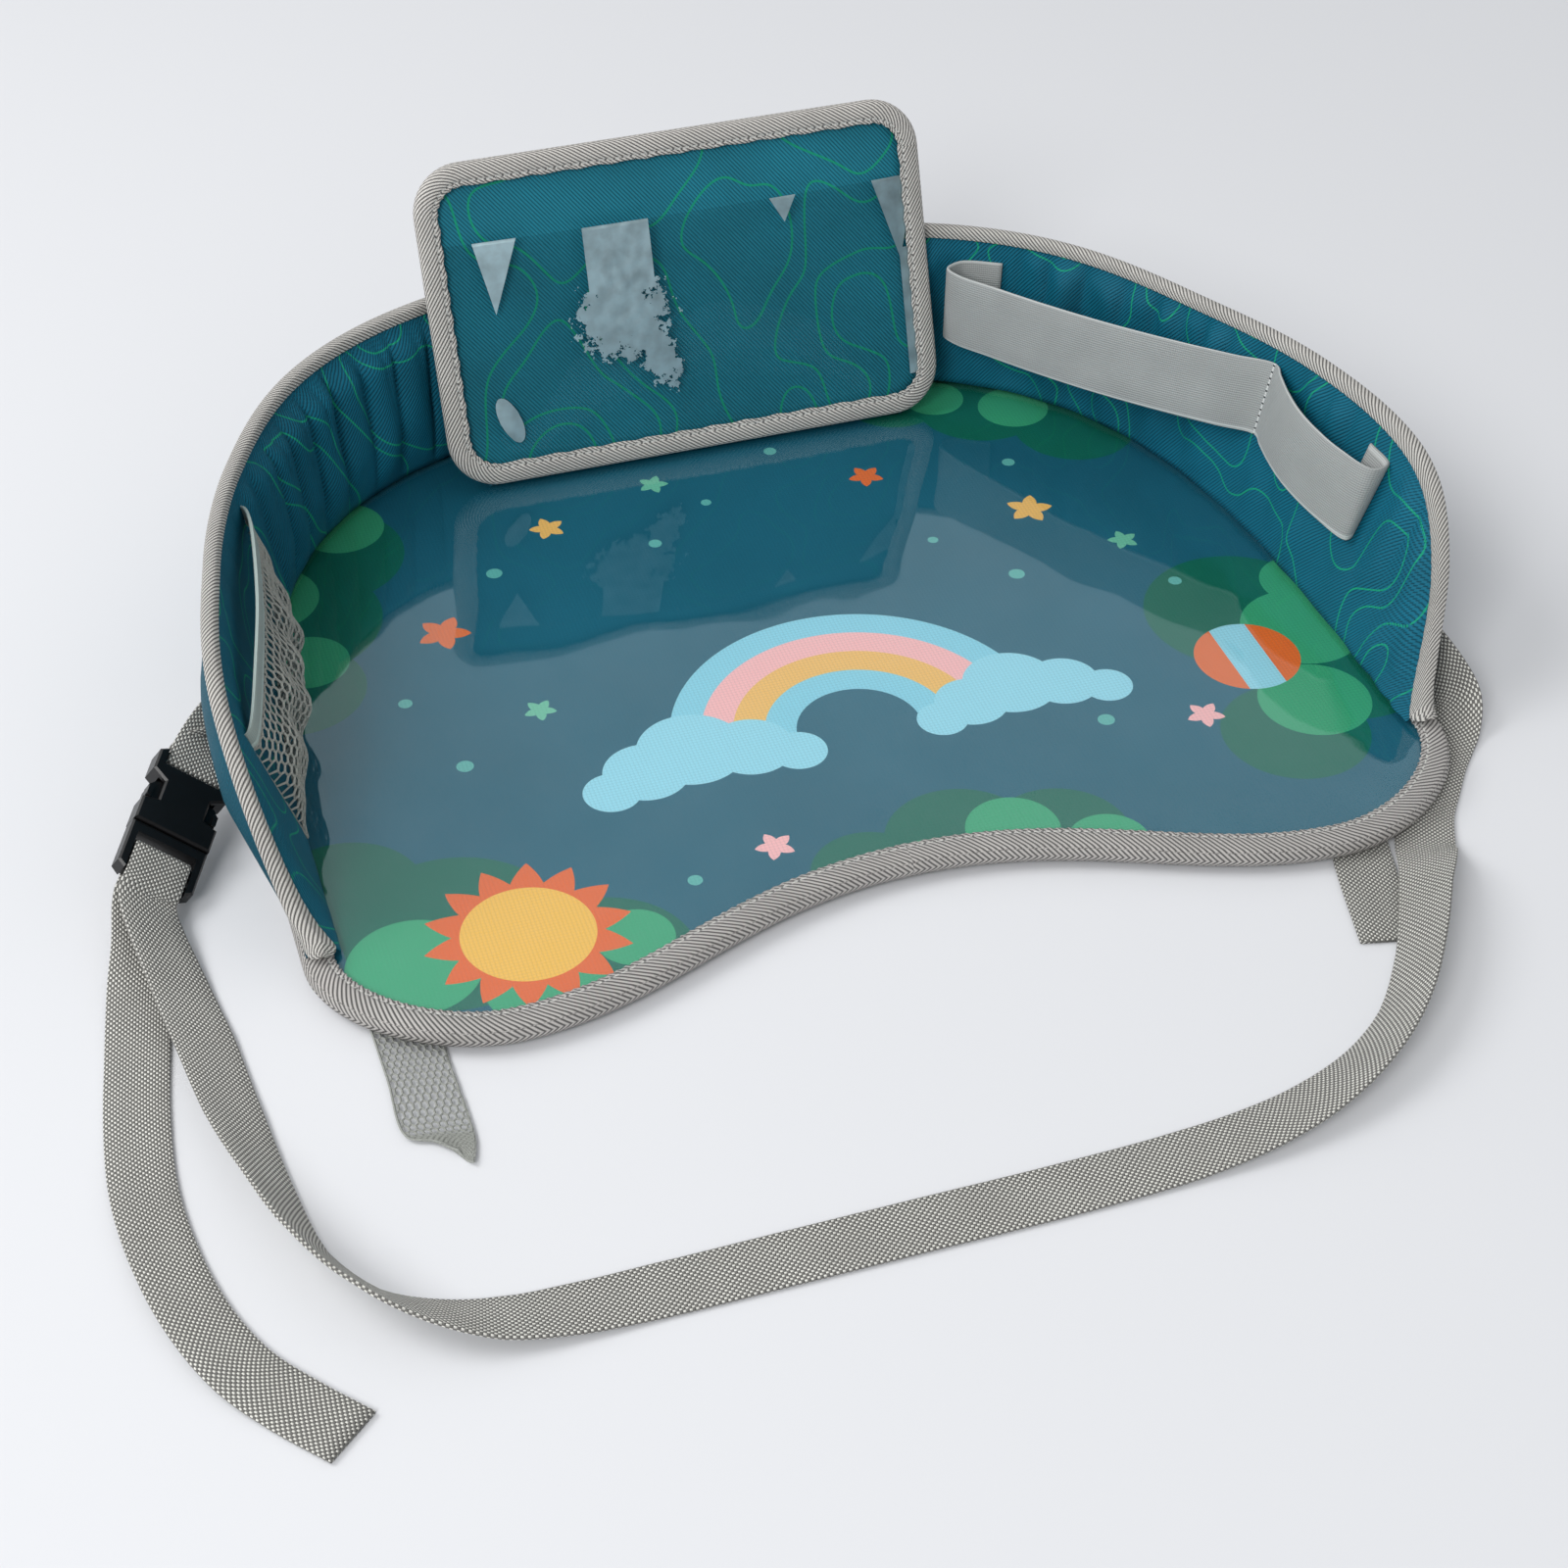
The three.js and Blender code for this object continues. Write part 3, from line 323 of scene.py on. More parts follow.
# %% The belt itself
belt_from_wall = [
    (202.7, -46, 26, -76), (203.7, -60, 25.5, -75), (204.4, -74, 23, -73), (207.4, -88, 17, -68),
    (210.6, -101, 10.5, -52), (210.6, -111, 6.4, -30), (205.8, -119.5, 1.7, -5), (200, -126, 0.9, 0),
    (193, -134, 0.9, 0), (184, -146, 0.9, 0), (176, -157, 1, 0), (168.5, -172, 1.6, -3),
    (162.5, -184, 6.9, -26), (153, -200, 9.6, -40), (140, -222, 9.3, -45), (123, -244, 7.6, -43),
    (104, -259, 6.4, -33), (83, -268.5, 4.4, -20), (62, -273.5, 2.7, -10), (36, -276, 1.3, -2),
    (0, -277, 0.9, 0), (-45, -277, 0.9, 0), (-90, -277, 0.9, 0), (-128, -277, 0.9, 0),
    (-152, -276.8, 1.8, -5), (-173, -275, 3.5, -15), (-191, -269, 6.6, -35), (-207, -257, 8.9, -55),
    (-219.5, -236, 9.4, -60), (-226.5, -206, 8.1, -46), (-231, -176, 6, -29), (-234.5, -140, 4.5, -20),
    (-238, -113, 5.6, -24),
]
belt_wrap = [
    (57.5, 2.7), (51, 2.75), (45, 2.8), (41, 2.8), (39.2, 2.65), (37.9, 1.5), (37.4, 0), (37.9, -1.5),
    (39.2, -2.65), (41, -2.8), (45, -2.8), (51, -2.75), (56, -2.7),
]
belt_tail = [
    (-246, -93, 5, 20), (-250, -110, 2.4, 6), (-255, -138, 0.9, 0), (-259.5, -168, 0.9, 0),
    (-261.5, -197, 1.6, 4), (-259, -226, 2.2, 8), (-253.5, -250, 2.2, 8), (-245, -270, 1.6, 4),
    (-234, -285, 0.9, 0), (-220.8, -300.5, 0.9, 0),
]


def strap_route(before, wrap=(), after=()):
    return [lying(*p) for p in before] + [threaded(*p) for p in wrap] + [lying(*p) for p in after]


belt_rings, belt_line = strap_rows(strap_route(belt_from_wall, belt_wrap, belt_tail))
belt = stands_for(cloth_mesh("belt_strap", belt_rings, close=True, cap=True), "belt_webbing")

# %% The buckle's loop, and the cut end under the right corner
loop_out = [
    (-191.6, 34, 25, 86), (-194.7, 18, 25, 86), (-196.9, 4, 25, 85), (-202.3, -5.8, 24.6, 78),
    (-208.2, -15.7, 23.9, 54),
]
loop_wrap = [(-4, 2.6), (1.4, 2.7), (3.7, 2.1), (4.8, 0), (3.7, -2.1), (1.4, -2.7), (-4, -2.6)]
loop_back = [
    (-210.3, -14.3, 20.7, 54), (-204.2, -5.2, 22.9, 78), (-198.7, 4, 25, 85), (-196.5, 18, 25, 86),
    (-193.4, 34, 25, 86),
]
loop_rings, _ = strap_rows(strap_route(loop_out, loop_wrap, loop_back))
buckle_loop = stands_for(cloth_mesh("buckle_loop", loop_rings, close=True, cap=True), "buckle_loop_webbing")

cut_end_points = [(151.5, -149.5, 0.9, 0), (149, -160, 0.9, 0), (143, -182, 0.9, 0), (136.5, -210, 0.9, 0)]
cut_end_rings, _ = strap_rows(strap_route(cut_end_points), steps=8)
cut_end = stands_for(cloth_mesh("cut_strap_end", cut_end_rings, close=True, cap=True), "strap_cut_end")
print("loop and cut end:", len(loop_rings), "and", len(cut_end_rings), "rings")

# %% [markdown]
# ## The floor
#
# The floor is a sandwich: fabric below, a thin foam and a stiff board inside, printed fabric on top of it, and
# clear film over the print. One tape is folded round the edge of them all. Flat layers are filled outlines. The
# tape is a section swept round the outline. Its outer edge is round, because the folded tape is soft.

# %% Levels of the layers
GAP = 0.3
EDGE_LIFT = 2.0
TAPE_THICK = 0.9
BASE_THICK, FOAM_THICK, BOARD_THICK, PRINT_THICK, FILM_THICK = 0.7, 2.6, 2.5, 0.5, 0.4
FILM_LOOSE = 0.05
BASE_TOP = EDGE_LIFT + TAPE_THICK + GAP + BASE_THICK
BOARD_TOP = BASE_TOP + GAP + BOARD_THICK
PRINT_TOP = BOARD_TOP + GAP + PRINT_THICK
FILM_TOP = PRINT_TOP + GAP + FILM_THICK
TAPE_TOP = FILM_TOP + GAP + TAPE_THICK
WALL_FOOT = TAPE_TOP + GAP
FLOOR_MIDDLE = np.array([0, 10])
BASE_STEP = 27
FOAM_EDGE, FOAM_EDGE_DROP = 31, 0.6
print("film at", round(FILM_TOP, 1), "mm, wall from", round(WALL_FOOT, 1), "mm")


# %% Flat layers
def close_middle(piece):
    """Joins the points of the innermost ring into one, so that no hole is left there."""
    change_mesh(piece.data, lambda shape: bmesh.ops.remove_doubles(shape, verts=shape.verts, dist=0.0002))
    return piece


def solid(piece, thick, offset=-1):
    """Gives a sheet a real thickness: below its face, or on both sides where offset is 0."""
    modifier = piece.modifiers.new("thickness", "SOLIDIFY")
    modifier.thickness = thick * MM
    modifier.offset = offset
    return piece


def floor_layer(name, node, thick, insets, z_of, count=360):
    """A filled layer of the floor from rings that shrink to the middle. Its map is flat."""
    rows = []
    for inset in insets:
        ring = [floor_chain.beside(i / count, -inset) for i in range(count)]
        rows.append([[x, y, z_of(inset, x, y)] for x, y in ring])
    for share in (*np.linspace(0.93, 0.06, 13), 0.0004):
        inner = FLOOR_MIDDLE + (np.array(ring) - FLOOR_MIDDLE) * share
        rows.append([[x, y, z_of(insets[-1] + 1, x, y)] for x, y in inner])
    flat = np.array(rows)
    piece = close_middle(cloth_mesh(name, rows, close=True, maps=(flat[:, :, 0], flat[:, :, 1])))
    return stands_for(solid(piece, thick), node)


def base_level(inset, x, y):
    return BASE_TOP if inset < BASE_STEP else BASE_THICK


def foam_level(inset, x, y):
    return BASE_TOP - (FOAM_EDGE_DROP if inset < FOAM_EDGE else 0)


def print_level(inset, x, y):
    return PRINT_TOP


def film_level(inset, x, y):
    """Clear film lies in slow ripples, as soft film does, with puckers along its sewn edge."""
    slow = math.sin(x * 0.021 + 0.9) * math.cos(y * 0.026 - 0.4) + 0.5 * math.sin(x * 0.047 - y * 0.035 + 1.1)
    turn = math.atan2(y - FLOOR_MIDDLE[1], x)
    pucker = math.sin(61 * turn + 2.6 * math.sin(5 * turn)) * (0.6 + 0.4 * math.sin(7 * turn + 1))
    near_seam = clamp((27 - inset) / 10)
    ripple = 0.1 + 0.16 * slow + 0.3 * near_seam * max(pucker, -0.2)
    return FILM_TOP + (ripple if inset > 12 else 0)


base = floor_layer("underside_cloth", "base_fabric", BASE_THICK, [1.2, 10, 20, 26, 27.5, 34], base_level)
foam = floor_layer("floor_padding", "floor_foam", FOAM_THICK, [30.2, 32, 34], foam_level)
printed = floor_layer("printed_cloth", "floor_print_fabric", PRINT_THICK, [1.2, 8, 16, 26], print_level)
film_insets = [1.2, 8, 10.5, 14, 20, 28]
film = floor_layer("clear_film", "floor_clear_film", FILM_THICK - FILM_LOOSE, film_insets, film_level)
print("floor layers:", [len(o.data.vertices) for o in (base, foam, printed, film)])

# %% The folded tape round the floor
RIPPLE_PITCH = 3.3
FLOOR_TAPE_WIDTH = 10
FLOOR_TAPE_STEPS = 1080
TAPE_CROWN = 6


def tape_section(width, half, bulge):
    """Outline of a folded tape's section as (inset, height from its middle), from the upper leg's edge round."""
    out = [(width, half - 0.1), (width - 0.5, half + bulge * 0.5), (width * 0.6, half + bulge)]
    around = np.radians([70, 45, 20, 0, -20, -45, -70])
    out += [(half * (1 - math.cos(a)) * 0.8, half * math.sin(a)) for a in around]
    out += [(width * 0.6, -half), (width - 0.3, -half), (width, -half + 0.2)]
    inner = half - TAPE_THICK
    out += [(width - 0.1, -inner), (TAPE_THICK, -inner), (TAPE_THICK, inner), (width - 0.1, inner)]
    return out


def scalloped(inset, position, width):
    """Stitches pull the tape's inner edge in, so it runs in small waves."""
    edge = max(0.0, inset / width - 0.6) / 0.4
    return inset + 0.35 * edge * math.cos(2 * math.pi * position / RIPPLE_PITCH)


tape_middle, tape_half = (EDGE_LIFT + TAPE_TOP) / 2, (TAPE_TOP - EDGE_LIFT) / 2
floor_tape_rows = []
for share in np.arange(FLOOR_TAPE_STEPS) / FLOOR_TAPE_STEPS:
    row = []
    for inset, height in tape_section(FLOOR_TAPE_WIDTH, tape_half, 0.35):
        place = scalloped(inset, share * floor_chain.length, FLOOR_TAPE_WIDTH)
        row.append([*floor_chain.beside(share, -place), tape_middle + height])
    floor_tape_rows.append(row)
floor_tape = cloth_mesh("floor_tape", floor_tape_rows, wrap=True, close=True, middle=TAPE_CROWN)
stands_for(floor_tape, "floor_binding")
print("floor tape:", len(floor_tape.data.polygons), "faces")

# %% [markdown]
# ## The wall
#
# The wall is foam between two cloths, with a tape folded over its rim. It stands highest near the front of each
# side, flares outwards there, and rolls down to the floor at both front corners. A table of shares along the wall
# gives its height and its flare. The inner cloth is a little too large for the bend of the wall, so it falls into
# soft folds, most of all at the back left.

# %% Height and flare of the rim
RIM_HEIGHT, RIM_FLARE = 84, 15
RIM_TAPE = 0.6
RIM_CLEAR = RIM_TAPE + GAP
WALL_TOP_THICK = 2.2
OUTER_FOOT, INNER_FOOT = 1.5, 12.5
# Each row: how far from the front corner to the middle of the back, share of the height, share of the flare.
RIM_TABLE = np.array(
    [
        [0, 0.08, -0.25], [0.03, 0.21, 0.2], [0.07, 0.56, 0.73], [0.12, 0.83, 1], [0.18, 0.95, 0.93],
        [0.28, 1, 0.47], [0.45, 0.93, -0.07], [0.6, 0.9, -0.13], [1, 0.86, -0.13],
    ]
)


def from_table(table, share, column):
    """A smooth value between the rows of a table."""
    last = len(table) - 1
    i = int(np.clip(np.searchsorted(table[:, 0], share, side="right") - 1, 0, last - 1))

    def slope(k):
        a, b = table[max(k - 1, 0)], table[min(k + 1, last)]
        return (b[column] - a[column]) / (b[0] - a[0])

    row, after = table[i], table[i + 1]
    span = after[0] - row[0]
    return hermite((share - row[0]) / span, row[column], span * slope(i), after[column], span * slope(i + 1))


def from_corner(share):
    """The way from the nearer front corner to the middle of the back, as a share."""
    return 1 - abs(2 * share - 1)


def rim_at(share):
    near = from_corner(share)
    flare = from_table(RIM_TABLE, near, 2)
    side = 1.15 if share < 0.5 else 0.75
    top = WALL_FOOT + (RIM_HEIGHT - WALL_FOOT) * from_table(RIM_TABLE, near, 1)
    return top, RIM_FLARE * flare * (side if flare > 0 else 1)


def wall_rise(share):
    return rim_at(share)[0] - RIM_CLEAR - WALL_FOOT


def wall_faces(share, up):
    """Inner and outer face of the wall at a share of its length and of its height."""
    top, flare = rim_at(share)
    outer = -OUTER_FOOT + (flare - RIM_CLEAR + OUTER_FOOT) * up
    inner = -INNER_FOOT + (flare - RIM_CLEAR - WALL_TOP_THICK + INNER_FOOT) * up
    z = WALL_FOOT + (top - RIM_CLEAR - WALL_FOOT) * up
    return np.array([*wall_chain.beside(share, inner), z]), np.array([*wall_chain.beside(share, outer), z])


def beyond_wall(share, up, out):
    """A point off the wall: inside of it where out is negative, outside of it where it isn't."""
    inner, outer = wall_faces(share, up)
    return (inner if out < 0 else outer) + unit(outer - inner) * out


def left_side(near):
    """Share along the wall of a place on the left side; right_side does the same for the right."""
    return 1 - near / 2


def right_side(near):
    return near / 2


print("wall rises", round(wall_rise(0.5)), "mm at the back")

# %% Soft folds of the inner cloth
# Each fold: its side, its place from the front corner to the middle of the back, its width, height and lean.
FOLDS = [
    (left_side, 0.435, 12, 2.2, 4), (left_side, 0.478, 12, 4.4, 3), (left_side, 0.52, 11, 5.6, 3),
    (left_side, 0.561, 12, 6.4, 2), (left_side, 0.605, 12, 6.6, 0), (left_side, 0.65, 12, 6.4, -2),
    (left_side, 0.692, 11, 5.8, -3), (left_side, 0.733, 11, 5.2, -4), (left_side, 0.776, 12, 4.2, -4),
    (right_side, 0.395, 20, 2.0, 6), (right_side, 0.46, 16, 3.0, 4), (right_side, 0.525, 17, 3.4, -3),
    (right_side, 0.585, 15, 2.4, 3), (right_side, 0.735, 13, 3.6, 2), (right_side, 0.785, 13, 4.0, 0),
    (right_side, 0.07, 22, 1.6, 8), (right_side, 0.255, 20, 1.4, 5),
]
HALF_WALL = wall_chain.length / 2
PUCKER_PITCH = 15.5
HEM = 4.0
ELASTIC_HELD = (0.18, 0.325, 0.675)


def loose_of_elastic(share, up):
    """How free the lining is of the pen elastic: 0 where the elastic is sewn to it, 1 well away from there."""
    if share > 0.5:
        return 1.0
    off_seam = min(abs(2 * share - place) for place in ELASTIC_HELD)
    return max(clamp((off_seam - 0.024) / 0.03), clamp((abs(up - 0.63) - 0.28) / 0.1, 0, 0.6))


def fold_ridge(side, off, width):
    """Left folds are round ridges with sharp valleys, as in the photograph. Right ones are soft swellings."""
    if side is left_side:
        return math.sqrt(max(1 - (off / (0.78 * width)) ** 2, 0.0))
    return math.exp(-((off / (0.42 * width)) ** 2))


def fold_at(share, up):
    """Height of the folds, of short puckers under the rim, and of slow swellings between them."""
    near = from_corner(share)
    below_hem = max((1 - up) * wall_rise(share) - HEM, 0)
    calm = min(below_hem / 10, 1)
    calm *= calm * (3 - 2 * calm)
    depth = 0.0
    for side, place, width, height, lean in FOLDS:
        off = (near - place) * HALF_WALL + lean * (up - 0.5)
        if abs(side(near) - share) < 1e-9 and abs(off) < 2 * width:
            depth = max(depth, height * fold_ridge(side, off, width) * min(3.2 * up, 1) ** 0.7)
    run = near * HALF_WALL
    wave = abs(math.sin(math.pi * run / PUCKER_PITCH + 0.7 * math.sin(run * 0.07)))
    pucker = (2 * wave**0.6 - 1) * math.exp(-below_hem / 14)
    broad = math.sin(math.pi * up) ** 0.8 * math.sin(share * 97 + 2.2 * up) * math.sin(share * 41 - 1.7 * up)
    low = math.exp(-(((up - 0.2) / 0.14) ** 2)) * math.sin(share * 173 + 3 * up)
    quiet = 0.2 if share > 0.5 and near < 0.42 else 1
    if share < 0.5:
        quiet = 1.9 * loose_of_elastic(share, up)
    small = quiet * (1.9 * pucker * min(below_hem / 4, 1) + 1.1 * broad + 0.9 * low)
    return calm * depth + min(below_hem / 6, 1) * max(small, -0.5)


# %% The lining
WALL_STEPS, WALL_ROWS = 720, 24
LINING_THICK = 0.45


def lining_point(share, up):
    inner, outer = wall_faces(share, up)
    puff = 0.8 * clamp(((1 - up) * wall_rise(share) - HEM) / 12) * min(up / 0.12, 1)
    puff *= loose_of_elastic(share, up)
    near_end = min(1, from_corner(share) / 0.06)
    return inner + unit(inner - outer) * ((fold_at(share, up) + puff) * near_end)


lining_rows = [
    [lining_point(i / WALL_STEPS, j / WALL_ROWS) for j in range(WALL_ROWS + 1)] for i in range(WALL_STEPS + 1)
]
lining = stands_for(solid(cloth_mesh("wall_lining", lining_rows), LINING_THICK), "wall_inner_fabric")
print("lining:", len(lining.data.vertices), "points")

# %% The foam and the outer cloth
COVER_STEPS, COVER_ROWS = 260, 12
COVER_THICK = 0.5
PADDING_SECTION = [
    (0, 0.2), (0.35, 0.22), (0.7, 0.25), (1, 0.3), (1, 0.7), (0.7, 0.78), (0.35, 0.8), (0, 0.82)
]


def cover_bulge(share, up):
    """The outer cloth sags outwards near the left front, where no strap holds it."""
    near = from_corner(share)
    sag = 7.0 * clamp((near - 0.03) / 0.07) * clamp((0.27 - near) / 0.09) * math.sin(math.pi * up**1.5)
    return 0.5 * math.sin(math.pi * up) + (sag if share > 0.5 else 0)


def padding_point(share, up, depth):
    inner, outer = wall_faces(share, up)
    return inner + (outer - inner) * depth


cover_shares = [i / COVER_STEPS for i in range(COVER_STEPS + 1)]
padding_rows = [[padding_point(share, *place) for place in PADDING_SECTION] for share in cover_shares]
cover_rows = [
    [beyond_wall(share, j / COVER_ROWS, cover_bulge(share, j / COVER_ROWS)) for j in range(COVER_ROWS + 1)]
    for share in cover_shares
]
padding = stands_for(cloth_mesh("wall_padding", padding_rows, close=True, cap=True), "wall_foam")
cover = stands_for(solid(cloth_mesh("wall_cover", cover_rows), COVER_THICK), "wall_outer_fabric")
print("padding and cover:", len(padding.data.vertices), "and", len(cover.data.vertices), "points")

# %% The tape folded over the rim
RIM_LEG = 3.6
RIM_STEPS = 900
RIM_OUTSIDE, RIM_INSIDE = 1.2, 0.6
CROWN_RISE = 1.1


def rim_ring(share):
    """The tape's section: down its outer leg, over the round crown, down the inner leg, and back inside."""
    leg = min(RIM_LEG / wall_rise(share), 0.6)
    top, _ = rim_at(share)
    ripple = 0.12 * math.cos(2 * math.pi * share * wall_chain.length / RIPPLE_PITCH)
    low = 1 - leg * (1 + ripple / RIM_LEG)
    outer_leg = [(low, 0), (1 - leg * 0.9, 0.1), (1 - leg * 0.45, 0.25)]
    ring = [beyond_wall(share, up, RIM_OUTSIDE + swell) for up, swell in outer_leg]
    out, back = beyond_wall(share, 1, RIM_OUTSIDE), beyond_wall(share, 1, -RIM_OUTSIDE)
    middle = (out + back) / 2
    for angle in np.radians([10, 40, 65, 90, 115, 140, 170]):
        point = middle + (out - middle) * math.cos(angle) * 1.02
        point[2] = top - CROWN_RISE + CROWN_RISE * math.sin(angle) - 0.1
        ring.append(point)
    ring += [beyond_wall(share, up, -RIM_OUTSIDE - swell) for up, swell in reversed(outer_leg)]
    ring.append(beyond_wall(share, low, -RIM_INSIDE))
    for off in (-RIM_INSIDE, RIM_INSIDE):
        point = beyond_wall(share, 1, off)
        point[2] = top - RIM_TAPE
        ring.append(point)
    ring.append(beyond_wall(share, low, RIM_INSIDE))
    return np.array(ring)


def rolled_end(share, step, reach=4.5):
    """Rings that round off the end of the tape, as its end is turned in and sewn down."""
    ring = rim_ring(share)
    middle = ring.mean(axis=0)
    onward = unit(np.array([*(wall_chain.beside(share, -6) - wall_chain.beside(share + step, -6)), -1.5]))
    return [
        middle + (ring - middle) * math.cos(angle) + onward * reach * math.sin(angle)
        for angle in np.radians([25, 48, 68, 84])
    ]


rim_rows = [rim_ring(i / RIM_STEPS) for i in range(RIM_STEPS + 1)]
rim_rows = rolled_end(0, 0.01)[::-1] + rim_rows + rolled_end(1, -0.01)
rim_tape = stands_for(cloth_mesh("rim_tape", rim_rows, close=True, cap=True, middle=TAPE_CROWN), "rim_binding")
print("rim tape:", len(rim_tape.data.polygons), "faces")

# %% [markdown]
# ## The phone panel
#
# The panel is a flat pocket for a phone: stiff board between two cloths, a clear window that is open along its
# top, and a folded tape all round. It stands on a fabric strip at the foot of the back wall and leans on the rim.
# Its pieces are made upright, then turned back about the hinge as one.

# %% The panel's place, and its rounded outline
PANEL_LEAN = math.radians(19.966)
PANEL_HINGE = mm(4.5, 120.5, 12.95)
PANEL_WIDTH, PANEL_HEIGHT, PANEL_RADIUS = 198, 123, 19
PANEL_HALF = 3.35
PANEL_MIDDLE = np.array([0, PANEL_HEIGHT / 2 - PANEL_HALF])
PANEL_CLOTH_INSET, PANEL_CLOTH_THICK, WINDOW_THICK = 3.7, 0.7, 0.3
panel_place = Matrix.Translation(PANEL_HINGE) @ Matrix.Rotation(-PANEL_LEAN, 4, "X")


def panel_mesh(name, node, rows, flat=True, **settings):
    """Makes a piece of the panel from rows of upright points, and turns it to its place."""
    rows = np.array(rows, float)
    if flat:
        settings["maps"] = (rows[:, :, 0], rows[:, :, 2])
    turned = rows @ np.array(panel_place.to_3x3()).T + np.array(PANEL_HINGE) / MM
    return stands_for(cloth_mesh(name, turned, body="phone_panel", **settings), node)


def panel_outline(inset, corner_steps, straight_steps):
    """Points round the panel, taken in by inset: four round corners, each with the straight that follows it."""
    reach = np.array([PANEL_WIDTH / 2 - PANEL_RADIUS, PANEL_HEIGHT / 2 - PANEL_RADIUS])
    corners = []
    for quarter in range(4):
        angles = math.pi / 2 * (quarter + np.arange(corner_steps + 1) / corner_steps)
        towards = np.sign([math.cos(math.pi / 2 * (quarter + 0.5)), math.sin(math.pi / 2 * (quarter + 0.5))])
        arc = np.stack([np.cos(angles), np.sin(angles)], axis=1) * (PANEL_RADIUS - inset)
        corners.append(PANEL_MIDDLE + towards * reach + arc)
    points = []
    for corner, after in zip(corners, corners[1:] + corners[:1]):
        points += [*corner]
        points += [corner[-1] + (after[0] - corner[-1]) * k / straight_steps for k in range(1, straight_steps)]
    return np.array(points)


# %% Front and back cloth
def panel_cloth(name, node, y):
    """A cloth layer of the panel as rings that shrink to its middle."""
    outline = panel_outline(PANEL_CLOTH_INSET, 8, 6)
    rings = [PANEL_MIDDLE + (outline - PANEL_MIDDLE) * share for share in (1, 0.92, 0.75, 0.5, 0.25, 0.0005)]
    piece = panel_mesh(name, node, [[[x, y, z] for x, z in ring] for ring in rings], close=True)
    return solid(close_middle(piece), PANEL_CLOTH_THICK, offset=0)


panel_front = panel_cloth("panel_front_cloth", "panel_front_fabric", -0.45)
panel_back = panel_cloth("panel_back_cloth", "panel_back_fabric", 2.05)
print("panel cloths:", len(panel_front.data.vertices), "points each")

# %% The panel's folded tape
PANEL_TAPE_WIDTH = 8.6
outer_line = panel_outline(0, 14, 36)
outer_run = run_along(outer_line)
tape_columns = []
for inset, depth in tape_section(PANEL_TAPE_WIDTH, PANEL_HALF, 0.2):
    column = []
    for point, outer, position in zip(panel_outline(inset, 14, 36), outer_line, outer_run):
        inwards = (point - outer) / max(np.linalg.norm(point - outer), 1e-6)
        x, z = point + inwards * (scalloped(inset, position, PANEL_TAPE_WIDTH) - inset)
        column.append([x, -depth, z])
    tape_columns.append(column)
rows = np.array(tape_columns).transpose(1, 0, 2)
panel_tape = panel_mesh("panel_tape", "panel_binding", rows, flat=False, wrap=True, close=True, middle=TAPE_CROWN)
print("panel tape:", len(panel_tape.data.polygons), "faces")

# %% [markdown]
# The window is soft clear film. It is sewn in under the tape on three sides, and its top edge is open and stands
# off the cloth. The film keeps the creases of its packing, so it carries small dents that catch the light.

# %% The clear window
WINDOW_SEAM = 10
WINDOW_RADIUS = PANEL_RADIUS - PANEL_CLOTH_INSET
WINDOW_HEIGHT = 93
WINDOW_BOW, SLACK_EDGE = 6.4, 1.8
WINDOW_ROWS, WINDOW_COLUMNS = 60, 120
WINDOW_LOW, WINDOW_HIGH = PANEL_CLOTH_INSET - PANEL_HALF, WINDOW_HEIGHT - PANEL_HALF
WINDOW_HALF = PANEL_WIDTH / 2 - PANEL_CLOTH_INSET
WINDOW_Y = -PANEL_HALF + TAPE_THICK + GAP
SLACK_HALF = PANEL_WIDTH / 2 - WINDOW_SEAM - GAP
SLACK_LOW = WINDOW_SEAM + GAP - PANEL_HALF


def window_slack(x, z):
    across = max(math.cos(math.pi / 2 * min(abs(x) / SLACK_HALF, 1)), 0)
    rise = clamp((z - SLACK_LOW) / (WINDOW_HIGH - SLACK_LOW))
    return WINDOW_BOW * across**0.7 * math.sin(math.pi / 2 * rise)


def window_dents(x, z):
    """Creases and dents of the film."""
    crumple = math.exp(-(((x + 22) / 16) ** 2 + ((z - 66) / 26) ** 2))
    fine = math.sin(x * 0.9 + 2 * math.sin(z * 0.31)) * math.cos(z * 0.7 + 1.7 * math.sin(x * 0.23))
    dent = math.exp(-(((x + 74) / 5) ** 2 + ((z - 20) / 8) ** 2))
    slow = 0.05 * math.sin(x * 0.09 + z * 0.05) * math.sin(z * 0.08)
    return 0.2 * crumple * fine + 0.4 * dent + slow


def window_reach(z):
    """Half of the window's width at a height: less in its round lower corners."""
    below = max(WINDOW_LOW + WINDOW_RADIUS - z, 0)
    return WINDOW_HALF - WINDOW_RADIUS + math.sqrt(max(WINDOW_RADIUS**2 - below**2, 0))


window_rows = []
for z in [WINDOW_LOW, (WINDOW_LOW + SLACK_LOW) / 2, *np.linspace(SLACK_LOW, WINDOW_HIGH, WINDOW_ROWS)]:
    reach = window_reach(z)
    slack_reach = min(SLACK_HALF, reach - SLACK_EDGE)
    fade = clamp((z - SLACK_LOW) / 8)
    row = []
    for x in [-reach, *np.linspace(-slack_reach, slack_reach, WINDOW_COLUMNS), reach]:
        inside = clamp((slack_reach - abs(x)) / 8) * fade
        row.append([x, WINDOW_Y - window_slack(x, z) - window_dents(x, z) * inside, z])
    window_rows.append(row)
window = solid(panel_mesh("clear_window", "panel_window_film", window_rows), WINDOW_THICK, offset=0)
print("window:", len(window.data.vertices), "points")

